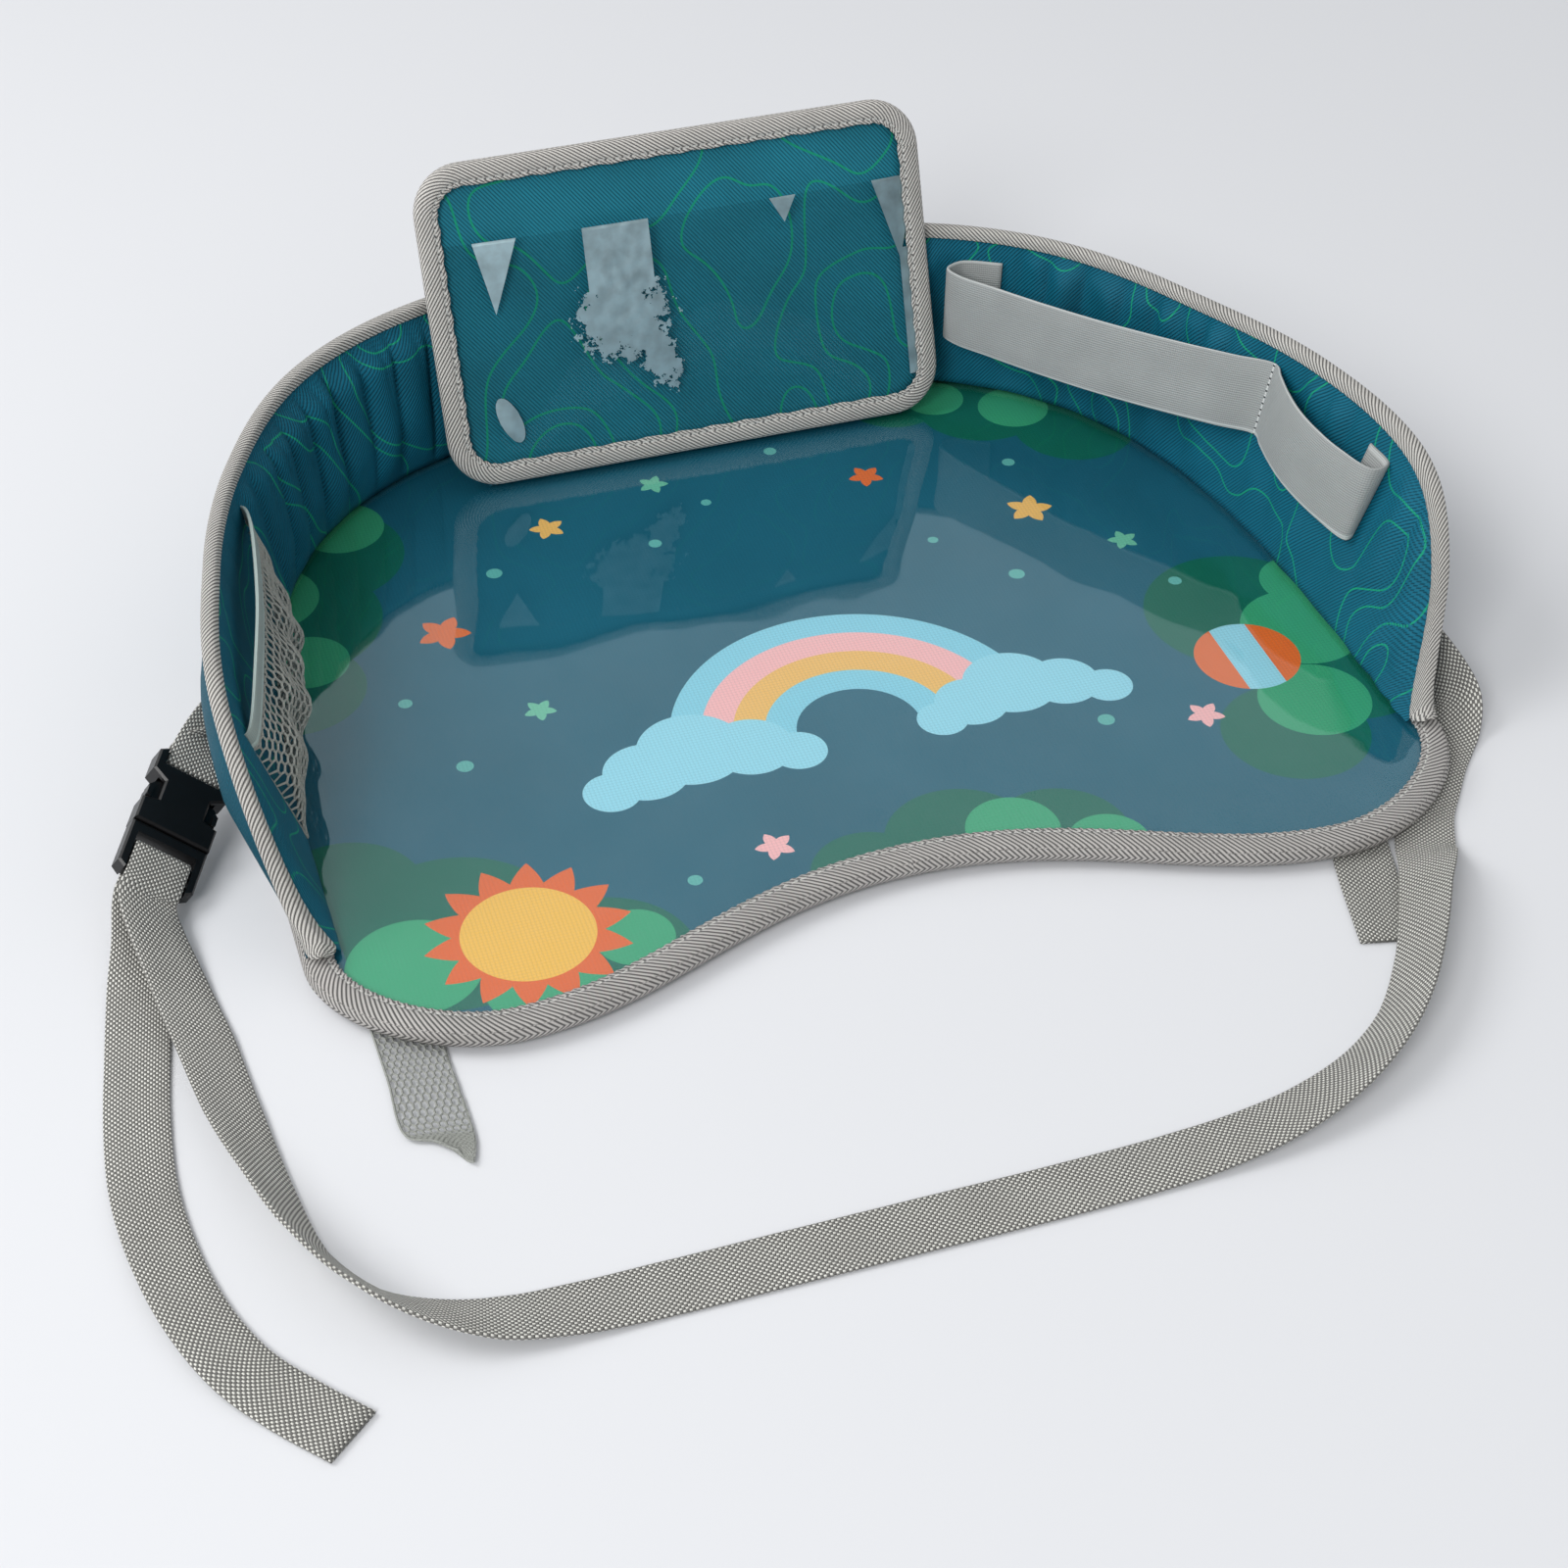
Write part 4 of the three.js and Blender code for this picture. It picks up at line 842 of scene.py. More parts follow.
# %% The fabric strip at the panel's foot
STRIP_REACH = PANEL_WIDTH / 2 - 14
STRIP_MIDDLE, STRIP_FRONT = 4.5, 120.5
STRIP_THICK = 0.7
wall_foot_line = [wall_chain.beside(i / 400, -INNER_FOOT - GAP) for i in range(401)]
strip_back = [(x, y) for x, y in wall_foot_line if y > 120 and abs(x - STRIP_MIDDLE) <= STRIP_REACH]


def strip_row(share):
    height = FILM_TOP + GAP + STRIP_THICK + 0.1
    return [[x, STRIP_FRONT + (y - STRIP_FRONT) * share, height + 0.05 * math.sin(x * 0.4)] for x, y in strip_back]


strip = cloth_mesh("hinge_strip", [strip_row(share) for share in np.linspace(0, 1, 12)])
stands_for(solid(strip, STRIP_THICK), "panel_hinge_strip")
print("strip:", len(strip.data.vertices), "points")

# %% [markdown]
# ## Elastic and nets
#
# The pen elastic is one grey tape on the right wall. It is folded back and sewn at both ends and sewn down once
# in the middle, so it makes one long loop and one short one. The mesh pocket on the left wall is a gathered net
# under a smooth elastic edge. Its holes are real holes, because they show against the dark cloth behind.

# %% The pen elastic
ELASTIC_WIDTH, ELASTIC_THICK = 29, 1.2
ELASTIC_UP = np.array([[0, 0.64], [0.165, 0.64], [0.325, 0.68], [0.7, 0.6], [1, 0.6]])
STAND_OFF = 2 * GAP + ELASTIC_THICK / 2
FOLD_OFF = STAND_OFF + 2 * ELASTIC_THICK + 2 * GAP
SEAM_PLACE, FRONT_PLACE = 0.325, 0.165
LONG_BOW, SHORT_BOW, SHORT_TILT = 4, 7, 5
SPLINE_STEPS = 8


def elastic_station(near, off, tilt=0.0):
    """Low and high edge of the elastic at a place on the wall; tilt is how much more its top stands off."""
    share = right_side(near)
    middle = from_table(ELASTIC_UP, near, 1)
    half = ELASTIC_WIDTH / 2 / wall_rise(share)
    return beyond_wall(share, middle - half, -off), beyond_wall(share, middle + half, -off - tilt)


def elastic_across(a, b, t):
    """The long loop hangs across the corner, and bows away from the wall."""
    chord = b[0] - a[0]
    bow = np.array([chord[1], -chord[0], 0]) / np.hypot(*chord[:2]) * LONG_BOW * math.sin(math.pi * t)
    return a[0] * (1 - t) + b[0] * t + bow, a[1] * (1 - t) + b[1] * t + bow


def short_loop(t):
    """The short loop bows away from the wall, and its top leans further off than its foot."""
    off = STAND_OFF + FOLD_OFF * t + SHORT_BOW * math.sin(math.pi * t)
    tilt = SHORT_TILT * math.sin(math.pi / 2 * t)
    return elastic_station(SEAM_PLACE + (FRONT_PLACE - SEAM_PLACE) * t, off, tilt)


back_end = [(0.655, STAND_OFF), (0.688, STAND_OFF + 0.6), (0.699, FOLD_OFF - 1), (0.708, FOLD_OFF + 4.2)]
back_turn = elastic_station(0.694, FOLD_OFF + 9.6)
seam = elastic_station(SEAM_PLACE, STAND_OFF)
stations = [elastic_station(*place) for place in back_end] + [back_turn]
stations += [elastic_across(back_turn, seam, t) for t in (0.12, 0.3, 0.5, 0.7, 0.88)]
seam_station = len(stations)
stations += [seam] + [short_loop(t) for t in (0.12, 0.28, 0.45, 0.62, 0.8)]
stations += [elastic_station(*place) for place in ((0.166, FOLD_OFF, 4), (0.169, STAND_OFF), (0.195, STAND_OFF))]


def flat_ring(low, high, face, thick):
    """A strap's section between a low and a high edge."""
    return [(low + high) / 2 + (high - low) / 2 * x + face * z * thick / 2 for x, z in STRAP_SECTION]


elastic_low, elastic_high = (spline([s[k] for s in stations], SPLINE_STEPS) for k in (0, 1))
middles = (elastic_low + elastic_high) / 2
elastic_rows = [
    flat_ring(low, high, unit(np.cross(t, high - low)), ELASTIC_THICK)
    for low, high, t in zip(elastic_low, elastic_high, np.gradient(middles, axis=0))
]
elastic = stands_for(cloth_mesh("pen_elastic_tape", elastic_rows, close=True, cap=True), "pen_elastic")
elastic_run = run_along(middles)
elastic_seam = float(elastic_run[seam_station * SPLINE_STEPS])
print("elastic:", round(float(elastic_run[-1])), "mm long")


# %% A net is a honeycomb laid on a surface, thickened along its edges
def net_piece(name, node, surface, length, height, pitch, thread):
    """surface(u, v) gives a point for shares along and up the net."""
    row_step, radius = pitch * math.sqrt(3) / 2, pitch / math.sqrt(3)

    def honeycomb(shape):
        corners = {}
        for row in range(int(height / row_step) + 2):
            for column in range(int(length / pitch) + 2):
                cx, cy = (column + (row % 2) / 2) * pitch, row * row_step
                ring = []
                for angle in np.radians(range(30, 390, 60)):
                    x = clamp(cx + radius * math.cos(angle), 0, length)
                    y = clamp(cy + radius * math.sin(angle), 0, height)
                    key = (round(x, 3), round(y, 3))
                    if key not in corners:
                        corners[key] = shape.verts.new(mm(*surface(clamp(x / length), clamp(y / height))))
                    if corners[key] not in ring:
                        ring.append(corners[key])
                if len(ring) > 2 and not shape.faces.get(ring):
                    shape.faces.new(ring)
        shape.normal_update()

    mesh = bpy.data.meshes.new(name)
    change_mesh(mesh, honeycomb)
    piece = new_object(name, mesh)
    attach(piece, "tray")
    wire = piece.modifiers.new("threads", "WIREFRAME")
    wire.thickness = thread * MM
    wire.use_even_offset = False
    wire.use_boundary = True
    return stands_for(piece, node)


# %% The pocket on the left wall: a net that bags, and its elastic edge
POCKET_LOW = 0.05
NET_LENGTH, NET_HEIGHT, NET_PITCH, NET_THREAD = 128, 50, 3.9, 1.05
NET_MIDDLE = 0.5
POCKET_EDGE_WIDTH, POCKET_EDGE_THICK, POCKET_EDGE_STEPS = 6, 1.2, 120


def pocket_place(t):
    """Share along the wall, and share of its height at the net's top, for a share along the pocket."""
    return left_side(0.13 + 0.28 * t), 0.69 + 0.07 * t


def pocket_off(t, rise):
    """How far the net stands off the wall: it bags most in its middle, and crumples."""
    across = math.sin(math.pi * clamp(t)) ** 0.5
    crumple = 2.6 * math.sin(math.pi * 6 * t + 3 * rise) ** 2
    crumple += 1.8 * math.sin(19 * t - 5 * rise) * math.sin(9 * rise)
    return 2 * GAP + across * (9 * rise + (8 + crumple) * math.sin(math.pi * rise))


def pocket_point(t, rise):
    share, high = pocket_place(t)
    return beyond_wall(share, POCKET_LOW + (high - POCKET_LOW) * rise, -pocket_off(t, rise) - NET_MIDDLE)


def pocket_edge_ring(t):
    share, high = pocket_place(t)
    low = high + 0.6 / wall_rise(share)
    off = -pocket_off(t, 1) - NET_MIDDLE
    low, high = beyond_wall(share, low, off), beyond_wall(share, low + POCKET_EDGE_WIDTH / wall_rise(share), off)
    across = unit(low - high)
    face = np.cross(across, [*wall_chain.at(share)[1], 0])
    return flat_ring(low, high, unit(np.cross(across, face)), POCKET_EDGE_THICK)


net = net_piece("pocket_net", "mesh_pocket_net", pocket_point, NET_LENGTH, NET_HEIGHT, NET_PITCH, NET_THREAD)
pocket_rings = [pocket_edge_ring(i / POCKET_EDGE_STEPS) for i in range(POCKET_EDGE_STEPS + 1)]
pocket_edge = cloth_mesh("pocket_elastic_edge", pocket_rings, close=True, cap=True)
stands_for(pocket_edge, "mesh_pocket_elastic")
print("pocket net:", len(net.data.polygons), "holes")

# %% The tongue of net under the left front corner
TONGUE_WIDTH, TONGUE_LENGTH, TONGUE_PITCH, TONGUE_THREAD = 20, 78, 2.2, 0.9
TONGUE_MIDDLE = 1.05
CORNER_LEFT = [(-184.5, -135), (-184, -150), (-183.6, -172), (-183.1, -197), (-176, -201), (-170, -207)]
CORNER_RIGHT = [(-164.6, -140), (-164.4, -152), (-164, -176), (-163.8, -200), (-164.5, -206), (-166.6, -213)]
corner_left, corner_right = (spline([(*p, 0) for p in side], 6) for side in (CORNER_LEFT, CORNER_RIGHT))


def corner_point(u, v):
    place = v * (len(corner_left) - 1)
    i = min(int(place), len(corner_left) - 2)
    f = place - i
    a, b = (side[i] * (1 - f) + side[i + 1] * f for side in (corner_left, corner_right))
    x, y, _ = a * (1 - u) + b * u
    lift = max(v - 0.45, 0) * (0.8 + 2.6 * math.sin(math.pi * u) * math.sin(5 * v))
    return x, y, TONGUE_MIDDLE + lift


tongue = (TONGUE_WIDTH, TONGUE_LENGTH, TONGUE_PITCH, TONGUE_THREAD)
corner_net = net_piece("corner_net", "corner_mesh_pocket", corner_point, *tongue)
print("corner net:", len(corner_net.data.polygons), "holes")

# %% [markdown]
# ## Effects that several finishes share
#
# Cloth is made of threads, so its weave, ribs and stitches are heights and masks over the map in millimetres.
# Each effect is one shader node group with named sockets. A group gives back only masks and heights, and every
# material mixes them into its own colours.
#
# Node trees are long to write, so a small class lets their values be added, multiplied and compared like plain
# numbers. Every such step is one Math node.


# %% Values that can be reckoned with
def math_node(operation, turned=False):
    """A step of reckoning that adds one Math node; turned puts the value last, as in 1 - value."""

    def step(self, *others):
        values = (*others, self) if turned else (self, *others)
        return self.nodes.math(operation, *values)

    return step


class Value:
    """A value in a node tree. Sums, products and comparisons of it are values too."""

    def __init__(self, nodes, socket):
        self.nodes, self.socket = nodes, socket

    __add__ = __radd__ = math_node("ADD")
    __mul__ = __rmul__ = math_node("MULTIPLY")
    __sub__, __rsub__ = math_node("SUBTRACT"), math_node("SUBTRACT", turned=True)
    __truediv__, __mod__, __pow__ = math_node("DIVIDE"), math_node("MODULO"), math_node("POWER")
    __gt__, __lt__ = math_node("GREATER_THAN"), math_node("LESS_THAN")
    __abs__, floor, fract = math_node("ABSOLUTE"), math_node("FLOOR"), math_node("FRACT")
    sine, root, arctan2 = math_node("SINE"), math_node("SQRT"), math_node("ARCTAN2")
    at_most, at_least = math_node("MINIMUM"), math_node("MAXIMUM")
    wrap, pingpong = math_node("WRAP"), math_node("PINGPONG")


class Nodes:
    """Adds nodes to a tree and joins them, with few words."""

    def __init__(self, tree):
        self.tree = tree

    def add(self, kind, **settings):
        node = self.tree.nodes.new(kind)
        for key, value in settings.items():
            setattr(node, key, value)
        return node

    def put(self, socket, value):
        if isinstance(value, Value):
            self.tree.links.new(value.socket, socket)
        else:
            socket.default_value = value

    def fill(self, node, **values):
        """Sets or joins a node's named inputs, and gives back its outputs by name."""
        for key, value in values.items():
            self.put(node.inputs[key.replace("_", " ")], value)
        return self.values(node)

    def values(self, node):
        return {socket.name: Value(self, socket) for socket in node.outputs}

    def math(self, operation, *values):
        node = self.add("ShaderNodeMath", operation=operation)
        for socket, value in zip(node.inputs, values):
            self.put(socket, value)
        return Value(self, node.outputs[0])

    def mix(self, factor, a, b):
        node = self.add("ShaderNodeMix", data_type="RGBA")
        self.fill(node, Factor=factor, A=a, B=b)
        return Value(self, node.outputs["Result"])

    def noise(self, vector, scale, detail=2, roughness=0.5):
        node = self.add("ShaderNodeTexNoise")
        self.fill(node, Vector=vector, Scale=scale, Detail=detail, Roughness=roughness)
        return Value(self, node.outputs["Fac"])

    def split(self, vector):
        return self.fill(self.add("ShaderNodeSeparateXYZ"), Vector=vector).values()

    def join(self, x, y, z=0):
        return self.fill(self.add("ShaderNodeCombineXYZ"), X=x, Y=y, Z=z)["Vector"]

    def group(self, tree, **values):
        return self.fill(self.add("ShaderNodeGroup", node_tree=tree), **values)


class Effect(Nodes):
    """A node group over a place in millimetres, with named numbers in and named results out."""

    def __init__(self, name, numbers, results):
        tree = bpy.data.node_groups.new(name, "ShaderNodeTree")
        super().__init__(tree)
        tree.interface.new_socket("Place", in_out="INPUT", socket_type="NodeSocketVector")
        for label, default in numbers.items():
            socket = tree.interface.new_socket(label, in_out="INPUT", socket_type="NodeSocketFloat")
            socket.default_value = default
        for label in results:
            tree.interface.new_socket(label, in_out="OUTPUT", socket_type="NodeSocketFloat")
        self.given = self.values(self.add("NodeGroupInput"))
        self.end = self.add("NodeGroupOutput")
        self.x, self.y, _ = self.split(self.given["Place"])

    def give(self, **results):
        self.fill(self.end, **results)
        return self.tree


def distance(dx, dy):
    return (dx * dx + dy * dy).root()


def between_threads(weave, sharpness):
    """Mask of the gaps between the threads of a weave."""
    return 1 - (weave["Height"] * sharpness).at_most(1)


# %% Plain weave: threads go over and under each other
def make_weave():
    n = Effect("plain weave", {"Pitch along": 1, "Pitch across": 1}, ["Height", "Over"])
    x, y = n.x / n.given["Pitch along"], n.y / n.given["Pitch across"]
    over = abs((x.floor() + y.floor()) % 2)
    ridge_x, ridge_y = abs((x * math.pi).sine()), abs((y * math.pi).sine())
    warp = ridge_y * ridge_x**0.4 * over
    weft = ridge_x * ridge_y**0.4 * (1 - over)
    return n.give(Height=warp + weft, Over=over)


WEAVE = make_weave()
print("made", WEAVE.name)


# %% Ribs: cords that lie side by side, straight or in a herringbone
def make_ribs():
    n = Effect("tape ribs", {"Pitch": 1.2, "Slant": 0, "Chevron width": 100}, ["Height", "Groove"])
    wide = n.given["Chevron width"]
    zigzag = abs(n.y.wrap(wide * -1, wide))
    height = abs(((n.x + zigzag * n.given["Slant"]) / n.given["Pitch"] * math.pi).sine()) ** 0.6
    return n.give(Height=height, Groove=1 - height)


RIBS = make_ribs()
print("made", RIBS.name)


# %% Stitches: a broken line of thread at one distance from an edge
def make_stitches():
    n = Effect("stitch line", {"Line": 8, "Pitch": 3.3, "Thread": 0.35}, ["Thread mask", "Hole mask", "Dip"])
    thread = n.given["Thread"]
    off = abs(abs(n.y) - n.given["Line"])
    from_middle = abs((n.x / n.given["Pitch"]).fract() - 0.5)
    mask = (off < thread) * (from_middle < 0.36)
    hole = (off < thread * 1.3) * (from_middle > 0.38)
    return n.give(Thread_mask=mask, Hole_mask=hole, Dip=1 - (off / (thread * 4)).at_most(1))


STITCHES = make_stitches()
print("made", STITCHES.name)


# %% Line drawing: thin closed curves of even width that wander over the cloth
def make_doodle():
    n = Effect("doodle lines", {"Size": 30, "Line": 0.35}, ["Mask"])
    step = 0.25

    def field(dx, dy):
        size = n.given["Size"]
        return n.noise(n.join((n.x + dx) / size, (n.y + dy) / (size * 1.35), 3.7), 1, detail=0)

    here, right, up = field(0, 0), field(step, 0), field(0, step)
    steep = distance((right - here) / step, (up - here) / step).at_least(0.002)
    first, second = (abs(here - level) / steep < n.given["Line"] for level in (0.43, 0.55))
    return n.give(Mask=first.at_least(second))


DOODLE = make_doodle()
print("effects:", [g.name for g in bpy.data.node_groups])

# %% [markdown]
# ## Finishes
#
# A finish starts from the cloth's own map, which holds millimetres divided by a hundred. Colour comes from the
# thread masks and from a slow drift, and the bump from their heights. Values that are the same all over are set
# on the shader itself.


# %% A material with its Principled shader, and places in millimetres
def linear(tone, factor=1):
    """An sRGB colour of 0 to 255, made lighter or darker, as the linear values that a shader wants."""
    out = []
    for value in tone:
        c = min(value * factor, 255) / 255
        out.append(c / 12.92 if c <= 0.04045 else ((c + 0.055) / 1.055) ** 2.4)
    return (*out, 1.0)


class Finish(Nodes):
    def __init__(self, name, roughness, **sockets):
        self.material = bpy.data.materials.new(name)
        self.material.use_nodes = True
        super().__init__(self.material.node_tree)
        self.shader = self.tree.nodes["Principled BSDF"]
        self.fill(self.shader, Roughness=roughness, **sockets)

    def scaled(self, vector, factor):
        node = self.add("ShaderNodeVectorMath", operation="SCALE")
        self.put(node.inputs[0], vector)
        self.put(node.inputs["Scale"], factor)
        return Value(self, node.outputs[0])

    def cloth_place(self):
        """The cloth's map, back in millimetres."""
        return self.scaled(self.values(self.add("ShaderNodeUVMap", uv_map="cloth"))["UV"], 1 / MAP_SCALE)

    def object_place(self):
        """The piece's own coordinates, in millimetres."""
        return self.scaled(self.values(self.add("ShaderNodeTexCoord"))["Object"], 1 / MM)

    def tones(self, place, scale, detail, tone, dark, light):
        """A colour that drifts slowly between a darker and a lighter share of one tone."""
        return self.mix(self.noise(place, scale, detail), linear(tone, dark), linear(tone, light))

    def colour(self, value):
        self.fill(self.shader, Base_Color=value)

    def bump(self, height, distance, strength=1):
        """Raises the surface by a height; the distance is in millimetres."""
        made = self.fill(self.add("ShaderNodeBump"), Height=height, Distance=distance * MM, Strength=strength)
        self.fill(self.shader, Normal=made["Normal"])

    def wear(self, *pieces):
        for piece in pieces:
            piece.data.materials.clear()
            piece.data.materials.append(self.material)


# %% Teal cloth with thin drawn lines
LINE_GREEN = (20, 158, 116)


def teal_cloth(name, base, doodle=True, size=30, line=0.32):
    finish = Finish(name, 0.55, Specular_IOR_Level=0.2)
    place = finish.cloth_place()
    twill = finish.group(RIBS, Place=place, Pitch=1.5, Slant=0.8, Chevron_width=500)
    threads = finish.group(WEAVE, Place=place, Pitch_along=0.5, Pitch_across=0.5)
    body = finish.tones(place, 0.03, 3, base, 0.86, 1.1)
    body = finish.mix(twill["Groove"], body, linear(base, 0.42))
    if doodle:
        lines = finish.group(DOODLE, Place=place, Size=size, Line=line)
        body = finish.mix(lines["Mask"] * 0.85, body, linear(LINE_GREEN))
    finish.colour(body)
    finish.bump(twill["Height"] + threads["Height"] * 0.3, 0.24)
    return finish


teal_cloth("lining cloth", (10, 106, 132)).wear(lining)
teal_cloth("panel cloth", (34, 132, 154), size=34, line=0.42).wear(panel_front)
teal_cloth("plain teal cloth", (18, 88, 108), doodle=False).wear(cover, panel_back, strip, base)
print("teal cloths done")


# %% Grey tapes: slanted ribs, and a sewn line near both edges
def stitched(finish, place, shade, height, thread, hole, dip=1, **line):
    """Lays a stitch line over a shade and its height."""
    made = finish.group(STITCHES, Place=place, **line)
    shade = finish.mix(made["Thread mask"], shade, linear(thread))
    shade = finish.mix(made["Hole mask"], shade, linear(hole))
    return shade, height - made["Dip"] * dip


def tape_finish(name, line, pitch, slant, tone, herringbone=True):
    """On a herringbone tape the ribs turn back at the fold. On a plain one they run on over it."""
    finish = Finish(name, 0.75, Specular_IOR_Level=0.3, Sheen_Weight=0.1)
    place = finish.cloth_place()
    x, y, _ = finish.split(place)
    rib_place, width = (place, 60) if herringbone else (finish.join(x, y + 200), 500)
    ribs = finish.group(RIBS, Place=rib_place, Pitch=pitch, Slant=slant, Chevron_width=width)
    threads = finish.group(WEAVE, Place=place, Pitch_along=0.55, Pitch_across=0.7)
    shade = finish.tones(place, 0.05, 3, tone, 0.94, 1.08)
    shade = finish.mix(between_threads(threads, 1.6) * 0.35, shade, linear(tone, 0.7))
    shade = finish.mix((ribs["Groove"] * 2.1).at_most(1), shade, linear(tone, 0.46))
    height = ribs["Height"] + threads["Height"] * 0.4
    shade, height = stitched(
        finish, place, shade, height, (214, 213, 208), (112, 112, 110), Line=line, Pitch=RIPPLE_PITCH, Thread=0.28
    )
    finish.colour(shade)
    finish.bump(height, 0.45)
    return finish


PAST_THE_TAPE = 40
tape_finish("floor tape", 10.2, 2.1, 1.1, (206, 202, 198)).wear(floor_tape)
tape_finish("panel tape", 8.9, 2.0, 1.4, (230, 226, 220)).wear(panel_tape)
tape_finish("rim tape", PAST_THE_TAPE, 1.9, 1.2, (222, 219, 213), herringbone=False).wear(rim_tape)
print("tapes done")


# %% Webbing: pale floats of thick thread over a darker ground, in offset rows
def webbing_finish(name, tone):
    finish = Finish(name, 0.72, Specular_IOR_Level=0.3, Sheen_Weight=0.08)
    place = finish.cloth_place()
    weave = finish.group(WEAVE, Place=place, Pitch_along=0.95, Pitch_across=0.9)
    speck = finish.noise(place, 1.4, 1)
    floats = (weave["Over"] * weave["Height"] * (speck + 1)).at_most(1)
    finish.colour(finish.mix(floats, linear(tone, 0.52), finish.tones(place, 0.05, 3, tone, 1, 1.2)))
    finish.bump(weave["Height"], 0.35)
    return finish


webbing_finish("grey webbing", (214, 212, 205)).wear(belt, buckle_loop)
webbing_finish("pale webbing", (204, 203, 196)).wear(cut_end)
print("webbing done")


# %% Elastic: fine cords along it, and a sewn line across it where it is held to the wall
def elastic_finish(name, tone, wide, cords=0.9, seam_at=None):
    finish = Finish(name, 0.7, Specular_IOR_Level=0.35, Sheen_Weight=0.12)
    place = finish.cloth_place()
    x, y, _ = finish.split(place)
    weave = finish.group(WEAVE, Place=place, Pitch_along=0.8, Pitch_across=cords)
    body = finish.tones(place, 0.05, 2, tone, 0.95, 1.06)
    body = finish.mix(between_threads(weave, 1.5) * 0.5, body, linear(tone, 0.66))
    from_edge = y.pingpong(wide)
    body = finish.mix(from_edge.at_most(wide - from_edge) < 0.9, body, linear(tone, 1.16))
    height = abs((y * (math.pi / cords)).sine()) + weave["Height"] * 0.5
    if seam_at is not None:
        across = finish.join(y, x)
        body, height = stitched(
            finish, across, body, height, (205, 206, 204), (52, 54, 56), 2.5, Line=seam_at, Pitch=2.6, Thread=0.45
        )
    finish.colour(body)
    finish.bump(height, 0.14, 0.8)
    return finish


elastic_finish("pen elastic", (160, 163, 162), ELASTIC_WIDTH + 0.6, seam_at=elastic_seam).wear(elastic)
elastic_finish("pocket elastic", (160, 174, 170), POCKET_EDGE_WIDTH + 0.6, cords=0.7).wear(pocket_edge)
print("elastics done")


# %% Net threads and foam
def plain_thread(name, tone, grain=1.4):
    finish = Finish(name, 0.85, Specular_IOR_Level=0.25, Sheen_Weight=0.1)
    drift = finish.noise(finish.object_place(), grain)
    finish.colour(finish.mix(drift, linear(tone, 0.8), linear(tone, 1.15)))
    finish.bump(drift, 0.15, 0.6)
    return finish


plain_thread("net thread", (158, 160, 154)).wear(net)
plain_thread("corner net thread", (150, 152, 147)).wear(corner_net)
plain_thread("foam", (228, 228, 220), 2.5).wear(foam, padding)
print("nets and foams done")

# %% [markdown]
# ### The printed floor
#
# The print is a picture of its own: green bushes round the edge, a rainbow and two clouds in the middle, a sun, a
# ball, stars and dots, in flat bright colours on teal. Each motif is a mask made of circles and stars over the
# floor's own millimetres, and the colours are laid over each other like screen prints.


# %% Masks for the print
def make_disc():
    n = Effect("disc", {"X": 0, "Y": 0, "Radius": 10}, ["Mask"])
    return n.give(Mask=distance(n.x - n.given["X"], n.y - n.given["Y"]) < n.given["Radius"])


def make_star():
    n = Effect("star", {"X": 0, "Y": 0, "Radius": 8, "Points": 5, "Turn": 0, "Depth": 0.5}, ["Mask"])
    dx, dy = n.x - n.given["X"], n.y - n.given["Y"]
    turns = (dy.arctan2(dx) + n.given["Turn"]) * n.given["Points"] / (2 * math.pi)
    reach = 1 - (turns + 100).pingpong(0.5) * 2 * n.given["Depth"]
    return n.give(Mask=distance(dx, dy) < reach * n.given["Radius"])


DISC, STAR = make_disc(), make_star()
print("made", DISC.name, "and", STAR.name)

# %% The print's motifs, each a list of circles or stars in millimetres
BUSHES_DARK = [
    (-170, 60, 34), (-150, 96, 30), (-176, 20, 26), (-150, -120, 36), (-108, -148, 30), (-180, -92, 26),
    (20, -128, 26), (52, -136, 24), (-14, -134, 20), (160, -40, 34), (182, -78, 34), (150, -110, 26),
    (120, 118, 26), (150, 92, 24), (88, 132, 20),
]
BUSHES_LIGHT = [
    (-176, 76, 20), (-140, 112, 16), (-168, 34, 15), (-166, -132, 22), (-128, -152, 20), (-96, -140, 13),
    (6, -138, 14), (38, -128, 16), (66, -144, 14), (178, -56, 22), (164, -96, 20), (190, -30, 15),
    (132, 112, 14), (104, 128, 12),
]
CLOUD_LEFT = [(-84, -69, 10), (-70, -62, 15), (-52, -55, 19), (-32, -60, 15), (-17, -67, 10)]
CLOUD_RIGHT = [(36, -66, 9), (49, -60, 13), (66, -54, 17), (84, -59, 13), (98, -66, 9)]
DOTS = [
    (-92, 66, 3), (-30, 66, 2.5), (30, 112, 2.5), (92, 6, 3), (146, -16, 2.5), (-128, -40, 3), (-70, -120, 2.5),
    (90, -84, 3), (-4, 86, 2), (70, 36, 2), (-140, 0, 2.5), (116, 76, 2.5),
]
ORANGE, YELLOW, PINK, MINT = (226, 112, 48), (237, 188, 101), (245, 185, 185), (110, 190, 160)
SKY, CLOUD_BLUE, DOT_TEAL = (137, 207, 225), (150, 214, 230), (96, 178, 170)
DEEP_GREEN, LIGHT_GREEN = (12, 104, 84), (58, 164, 118)
SUN_ORANGE, SUN_YELLOW = (226, 104, 40), (240, 190, 80)
RAINBOW_MIDDLE = (7, -62)
RAINBOW = [(66, SKY), (55, PINK), (44, YELLOW), (33, SKY), (22, None)]
SUN, SUN_RAYS, SUN_DISC = (-128, -128), 34, 22
BALL, BALL_RADIUS, HALF_STRIPE = (152, -66), 19, 7
